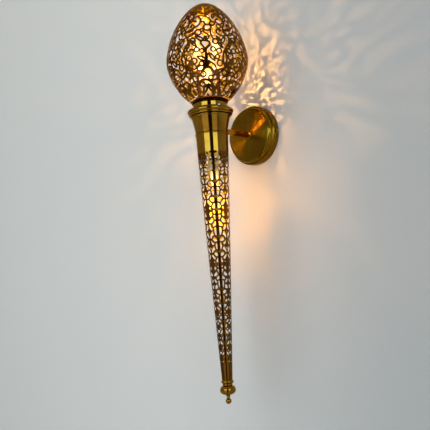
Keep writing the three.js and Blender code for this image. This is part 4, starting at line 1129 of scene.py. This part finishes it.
def make_lamp(name, finishes):
    """A ribbed ceramic holder, a threaded brass base and a frosted candle lamp that glows"""
    at, length = lamp_frame(name)
    parts = "lampholder", "lamp_base", "lamp_glass"
    holder, base, glass = (half_width(f"{part}_{name}") for part in parts)
    outline = [(0, 0), (5, 0), (holder, 3.3)]
    for rib in range(RIBS):
        start = 5 + rib * RIB_STEP
        outline += [(holder, start), (holder - 0.5, start + 0.5)]
        outline += [(holder - 0.5, start + 1.3), (holder, start + 1.8)]
    outline += [(holder, length), (base + GAP, length), (base + GAP, 5), (0, 5)]
    turned(f"lampholder_{name}", outline, finishes["ceramic"], at=at,
           sides=SMALL_SIDES, ease=0.3)
    root = base - 0.6
    outline = [(0, 5.3), (base / 2, 5.3), (root, 5.3 + base / 2)]
    for thread in range(THREADS):
        start = 6.3 + base / 2 + thread * THREAD_STEP
        outline += [(root, start), (base, start + 0.7), (root, start + 1.4)]
    outline += [(base, length), (0, length)]
    turned(f"lamp_base_{name}", outline, finishes["brass"], f"lamp_{name}", at=at, sides=SMALL_SIDES)
    foot = length + GAP
    shares = np.linspace(0, 1, 25)
    swell = np.interp(shares, GLASS_SHARES, GLASS_RADII)
    outline = [(0, foot), *((glass * s, foot + GLASS_LENGTH * t) for s, t in zip(swell, shares))]
    centre = placed([(0, 0, foot + GLASS_LENGTH / 2)], at)[0]
    finish = lamp_glass(f"glowing_glass_{name}", centre * MM, glass * MM, GLASS_LENGTH / 2 * MM)
    shape = turned(f"lamp_glass_{name}", outline, finish, f"lamp_{name}", at, SMALL_SIDES, 0)
    shape.visible_shadow = False
    return centre


def make_fittings(finishes):
    """The rod, the tubes and the hub that carry the lamps"""
    low, rod_top = span("tie_rod")
    rod, cut = half_width("tie_rod"), 0.5
    turned("tie_rod", [
        (0, low), (rod - cut, low), (rod, low + cut), (rod, rod_top - cut), (rod - cut, rod_top),
        (0, rod_top),
    ], finishes["rod"], sides=SMALL_SIDES)
    for node in ("lamp_tube_left", "lamp_tube_right", "stem_lamp_tube"):
        outline = tube_outline(half_width(node), half_width(node) - 1.4, *span(node))
        at = upright(middle(node) * (1, 1, 0))
        turned(node, outline, finishes["inner"], at=at, sides=SMALL_SIDES)
    low, high = span("cluster_hub")
    hub, cut, waist, socket = half_width("cluster_hub"), 0.8, 1.2, rod_top + GAP
    turned("cluster_hub", [
        (rod + GAP, low), (hub - cut, low), (hub, low + cut), (hub, low + 5), (hub - waist, low + 6),
        (hub - waist, high - 6), (hub, high - 5), (hub, high - cut), (hub - cut, high), (0, high),
        (0, socket), (rod + GAP, socket),
    ], finishes["inner"], sides=SMALL_SIDES)


def finish_nodes(finishes):
    """Gives the CAD nodes that stay their materials"""
    by_finish = {
        "steel": ("wall_bracket", "wall_screw_left", "wall_screw_right", "arm_washer", "arm_nut",
                  "arm_cup_nut", "plate_washer", "plate_nut", "strap_nut_upper", "strap_nut_lower"),
        "brass": ("earth_screw",),
        "ceramic": ("terminal_block", "lamp_connector"),
        "inner": ("lamp_plate", "cluster_strap", "stem_lamp_strap"),
        "insulation": ("supply_lead", "cluster_lead", "stem_lead"),
    }
    for finish, nodes in by_finish.items():
        for node in nodes:
            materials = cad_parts[node].data.materials
            materials.clear()
            materials.append(finishes[finish])


# Stage, lights and world. Lengths are in metres here.

# The stage's colours at its lighter end and at its darker end, between which it is darkened as painted shade
WALL_COLOURS = (0.55, 0.575, 0.585), (0.345, 0.37, 0.385)
FLOOR_COLOURS = (0.60, 0.60, 0.59), (0.56, 0.56, 0.55)
FLOOR_HEIGHT = -1.2
STAGE_REACH = 6.0
PHOTOGRAPHER_AZIMUTH = -50
PHOTOGRAPHER_SPREAD = 23
# The flag's reach from the torch's axis and its height, from its near end on the floor to its top
FLAG_PROFILE = (0.25, FLOOR_HEIGHT + 0.01), (3.0, FLOOR_HEIGHT + 0.01), (3.0, 2.7)
FLAG_COLOUR = (0.07, 0.03, 0.02)


def add_to_stage(name, points, faces, finish):
    mesh = bpy.data.meshes.new(name)
    mesh.from_pydata(points, [], faces)
    mesh.materials.append(finish)
    piece = bpy.data.objects.new(name, mesh)
    bpy.context.scene.collection.objects.link(piece)
    return piece


def make_stage():
    reach, foot, top = STAGE_REACH, FLOOR_HEIGHT, FLOOR_HEIGHT + STAGE_REACH
    wall = [(-reach, 0, foot), (reach, 0, foot), (reach, 0, top), (-reach, 0, top)]
    floor = [(-reach, -reach, foot), (reach, -reach, foot), (reach, 0, foot), (-reach, 0, foot)]
    add_to_stage("wall", wall, [(0, 1, 2, 3)], one_sided("wall_plaster", *WALL_COLOURS))
    add_to_stage("floor", floor, [(0, 1, 2, 3)], one_sided("pale_floor", *FLOOR_COLOURS))


def make_flag():
    """A dark flag on the photographer's side, out along the floor and then upright. It shows in the
    metal only, so it neither hides the room behind the torch nor shadows the floor."""
    finish = material("dark_flag")
    Recipe(finish).finish(Base_Color=(*FLAG_COLOUR, 1), Roughness=0.9)
    points = []
    for azimuth in (-PHOTOGRAPHER_SPREAD / 2, PHOTOGRAPHER_SPREAD / 2):
        angle = math.radians(PHOTOGRAPHER_AZIMUTH + azimuth)
        for reach, height in FLAG_PROFILE:
            points.append((reach * math.cos(angle), TORCH_AXIS[1] * MM + reach * math.sin(angle), height))
    flag = add_to_stage("flag", points, [(0, 1, 4, 3), (1, 2, 5, 4)], finish)
    flag.visible_camera = False
    flag.visible_diffuse = False
    flag.visible_shadow = False


def add_light(name, kind, place, energy, colour, **settings):
    data = bpy.data.lights.new(name, kind)
    data.energy = energy
    data.color = colour
    for key, value in settings.items():
        setattr(data, key, value)
    light = bpy.data.objects.new(name, data)
    light.location = place
    bpy.context.scene.collection.objects.link(light)
    return light


def add_panel(name, place, away, energy, colour, glossy=True, diffuse=True, **settings):
    """A flat light with its back to a direction, which doesn't show to the camera. It shows in the
    metal only if glossy, and lights matt things only if diffuse."""
    light = add_light(name, "AREA", place, energy, colour, **settings)
    light.rotation_mode = "QUATERNION"
    light.rotation_quaternion = away.to_track_quat("Z", "Y")
    light.visible_camera = False
    light.visible_glossy = glossy
    light.visible_diffuse = diffuse


def add_softbox(name, azimuth, spread, rise, distance, radiance, colour=(1, 1, 1), **shows):
    """An upright soft light at a distance from the torch, as wide as the spread and as high as the
    rise between its two elevations, all in degrees"""
    angle = math.radians(azimuth)
    aim = Vector(TORCH_AXIS) * MM
    foot, top = (distance * math.tan(math.radians(elevation)) for elevation in rise)
    place = aim + Vector((distance * math.cos(angle), distance * math.sin(angle), (foot + top) / 2))
    width = 2 * distance * math.tan(math.radians(spread / 2))
    away = Vector((place.x - aim.x, place.y - aim.y, 0))
    add_panel(name, place, away, radiance * math.pi * width * (top - foot), colour, **shows,
              shape="RECTANGLE", size=width, size_y=top - foot)


# Azimuth and spread of two windows, their distance, and the elevations between which they stand. The
# metal shows them with one radiance and colour, and the wall takes their light with another.
WINDOWS = ("left", -82, 40), ("right", -21.5, 31)
WINDOW_DISTANCE = 2.4
WINDOW_RISE = (2, 17.5)
METAL_DAYLIGHT = 2.8, (0.86, 1.2, 1.7)
WALL_DAYLIGHT = 2.52, (0.97, 1.05, 1.13)
# What the floor before the windows throws back: elevations, distance and radiance
FLOOR_GLOW = (-36, 1.5), 1.5, 0.6
# Azimuth, spread, elevations, distance, radiance and colour of the fills, which don't show in metal
CEILING_FILL = -95, 50, (22, 55), 2.4, 2.1, (1.03, 1, 0.93)
LOW_FILL = -100, 60, (-28, 10), 2.0, 1.4, (0.93, 1.03, 1.06)
# Power and radius of the light of the middle, left, right and stem lamps, and if it shows in the metal
GLOW_COLOUR = (1.0, 0.46, 0.13)
GLOWS = (1.65, 0.0018, True), (0.15, 0.0018, True), (0.4, 0.0018, True), (0.35, 0.006, False)
# The light that is thrown down the stem: how far under the stem lamp, and its power
BOUNCE_COLOUR = (1.0, 0.40, 0.07)
BOUNCE_RADIUS = 0.006
BOUNCES = (0.05, 1.2), (0.085, 0.45), (0.12, 0.05), (0.155, 0.015), (0.19, 0.01)
# The egg's warm light as the canopy shows it, from a small light that faces the canopy alone
GLEAM_PLACE = (0.02, -0.095, 0.063)
GLEAM_POWER = 0.042
GLEAM_SIZE = 0.012
GLEAM_SPREAD = math.radians(55)


def make_lights(lamp_places):
    """Daylight from two windows with its glow on the floor, two fills, the four lamps, their light
    down the stem, and their gleam on the canopy"""
    for side, azimuth, spread in WINDOWS:
        window = azimuth, spread, WINDOW_RISE, WINDOW_DISTANCE
        add_softbox("window_" + side, *window, *METAL_DAYLIGHT, diffuse=False)
        add_softbox("daylight_" + side, *window, *WALL_DAYLIGHT, glossy=False)
        add_softbox("floor_glow_" + side, azimuth, spread, *FLOOR_GLOW)
    add_softbox("ceiling_fill", *CEILING_FILL, glossy=False)
    add_softbox("low_fill", *LOW_FILL, glossy=False)
    for number, (place, (power, radius, glossy)) in enumerate(zip(lamp_places, GLOWS), 1):
        glow = add_light(f"lamp_glow_{number}", "POINT", Vector(place) * MM, power, GLOW_COLOUR,
                         shadow_soft_size=radius)
        glow.visible_glossy = glossy
    for number, (drop, power) in enumerate(BOUNCES, 1):
        place = Vector(lamp_places[-1]) * MM - Vector((0, 0, drop))
        bounce = add_light(f"stem_bounce_{number}", "POINT", place, power, BOUNCE_COLOUR,
                           shadow_soft_size=BOUNCE_RADIUS)
        bounce.visible_glossy = False
    add_panel("canopy_gleam", GLEAM_PLACE, Vector(GLEAM_PLACE), GLEAM_POWER, BOUNCE_COLOUR,
              diffuse=False, shape="DISK", size=GLEAM_SIZE, spread=GLEAM_SPREAD)


ROOM_STOPS = (0.0, (0.38, 0.34, 0.29)), (0.5, (0.42, 0.385, 0.335)), (0.85, (0.46, 0.43, 0.39))


def make_room():
    """An even room all round, a little lighter above"""
    world = bpy.data.worlds.new("studio")
    bpy.context.scene.world = world
    recipe = Recipe(world)
    direction = recipe.add("TexCoord").outputs["Generated"]
    height = recipe.add("SeparateXYZ", {"Vector": direction}).outputs["Z"]
    room = recipe.colours(recipe.between(height, 0.0, 1.0, -1.0, 1.0), ROOM_STOPS)
    background = recipe.tree.nodes["Background"]
    recipe.set(background, "Color", room)
    recipe.set(background, "Strength", 1.0)


def main():
    make_camera()
    finishes = {
        "brass": brass("antique_brass"),
        "canopy": brass("spun_brass", "Y", BROWN_TONES, (0.08, 0.14), 0.1, brushed=BRUSHED_RADIUS),
        "arm": brass("arm_brass", "Y", ARM_TONES, coat=0),
        # The cone's outside, with painted shade over its pierced part
        "pierced": brass("pierced_brass", painted_shade_below=CONE_SHADE_HEIGHT),
        "egg": brass("antique_pierced_brass", "Z", UMBER_TONES, (0.16, 0.25), 0.1),
        # The shades' insides carry a painted glow on top of the lamps' light
        "egg_inside": brass("egg_inside_glow_brass", "Z", AMBER_TONES, (0.32, 0.42), 0, 0.88),
        "cone_inside": brass("cone_inside_glow_brass", "Z", YELLOW_TONES, (0.35, 0.45), 0, 0.68),
        "cut_edge": brass("cut_edge_brass", "Z", DARK_TONES, (0.3, 0.4), 0),
        # Painted shade for the egg's neck sleeve and ring
        "painted_shade": brass("painted_shade_brass", "Z", PAINTED_SHADE_TONES, (0.3, 0.45), 0),
        "inner": brass("fitting_brass", "Z", DARK_TONES, (0.3, 0.42)),
        "rod": brass("rod_brass", "Z", BROWN_TONES, (0.2, 0.3), 0),
        "steel": steel("zinc_steel"),
        "nickel": nickel("bright_nickel"),
        "ceramic": ceramic("cream_ceramic"),
        "insulation": insulation("braided_sleeving"),
    }
    for make in (make_shades, make_torch, make_foot, make_canopy, make_screws):
        make(finishes)
    lamp_places = [make_lamp(name, finishes) for name in ("middle", "left", "right", "stem")]
    make_fittings(finishes)
    finish_nodes(finishes)
    make_stage()
    make_flag()
    make_lights(lamp_places)
    make_room()
    bpy.context.scene.view_settings.view_transform = "Standard"


main()
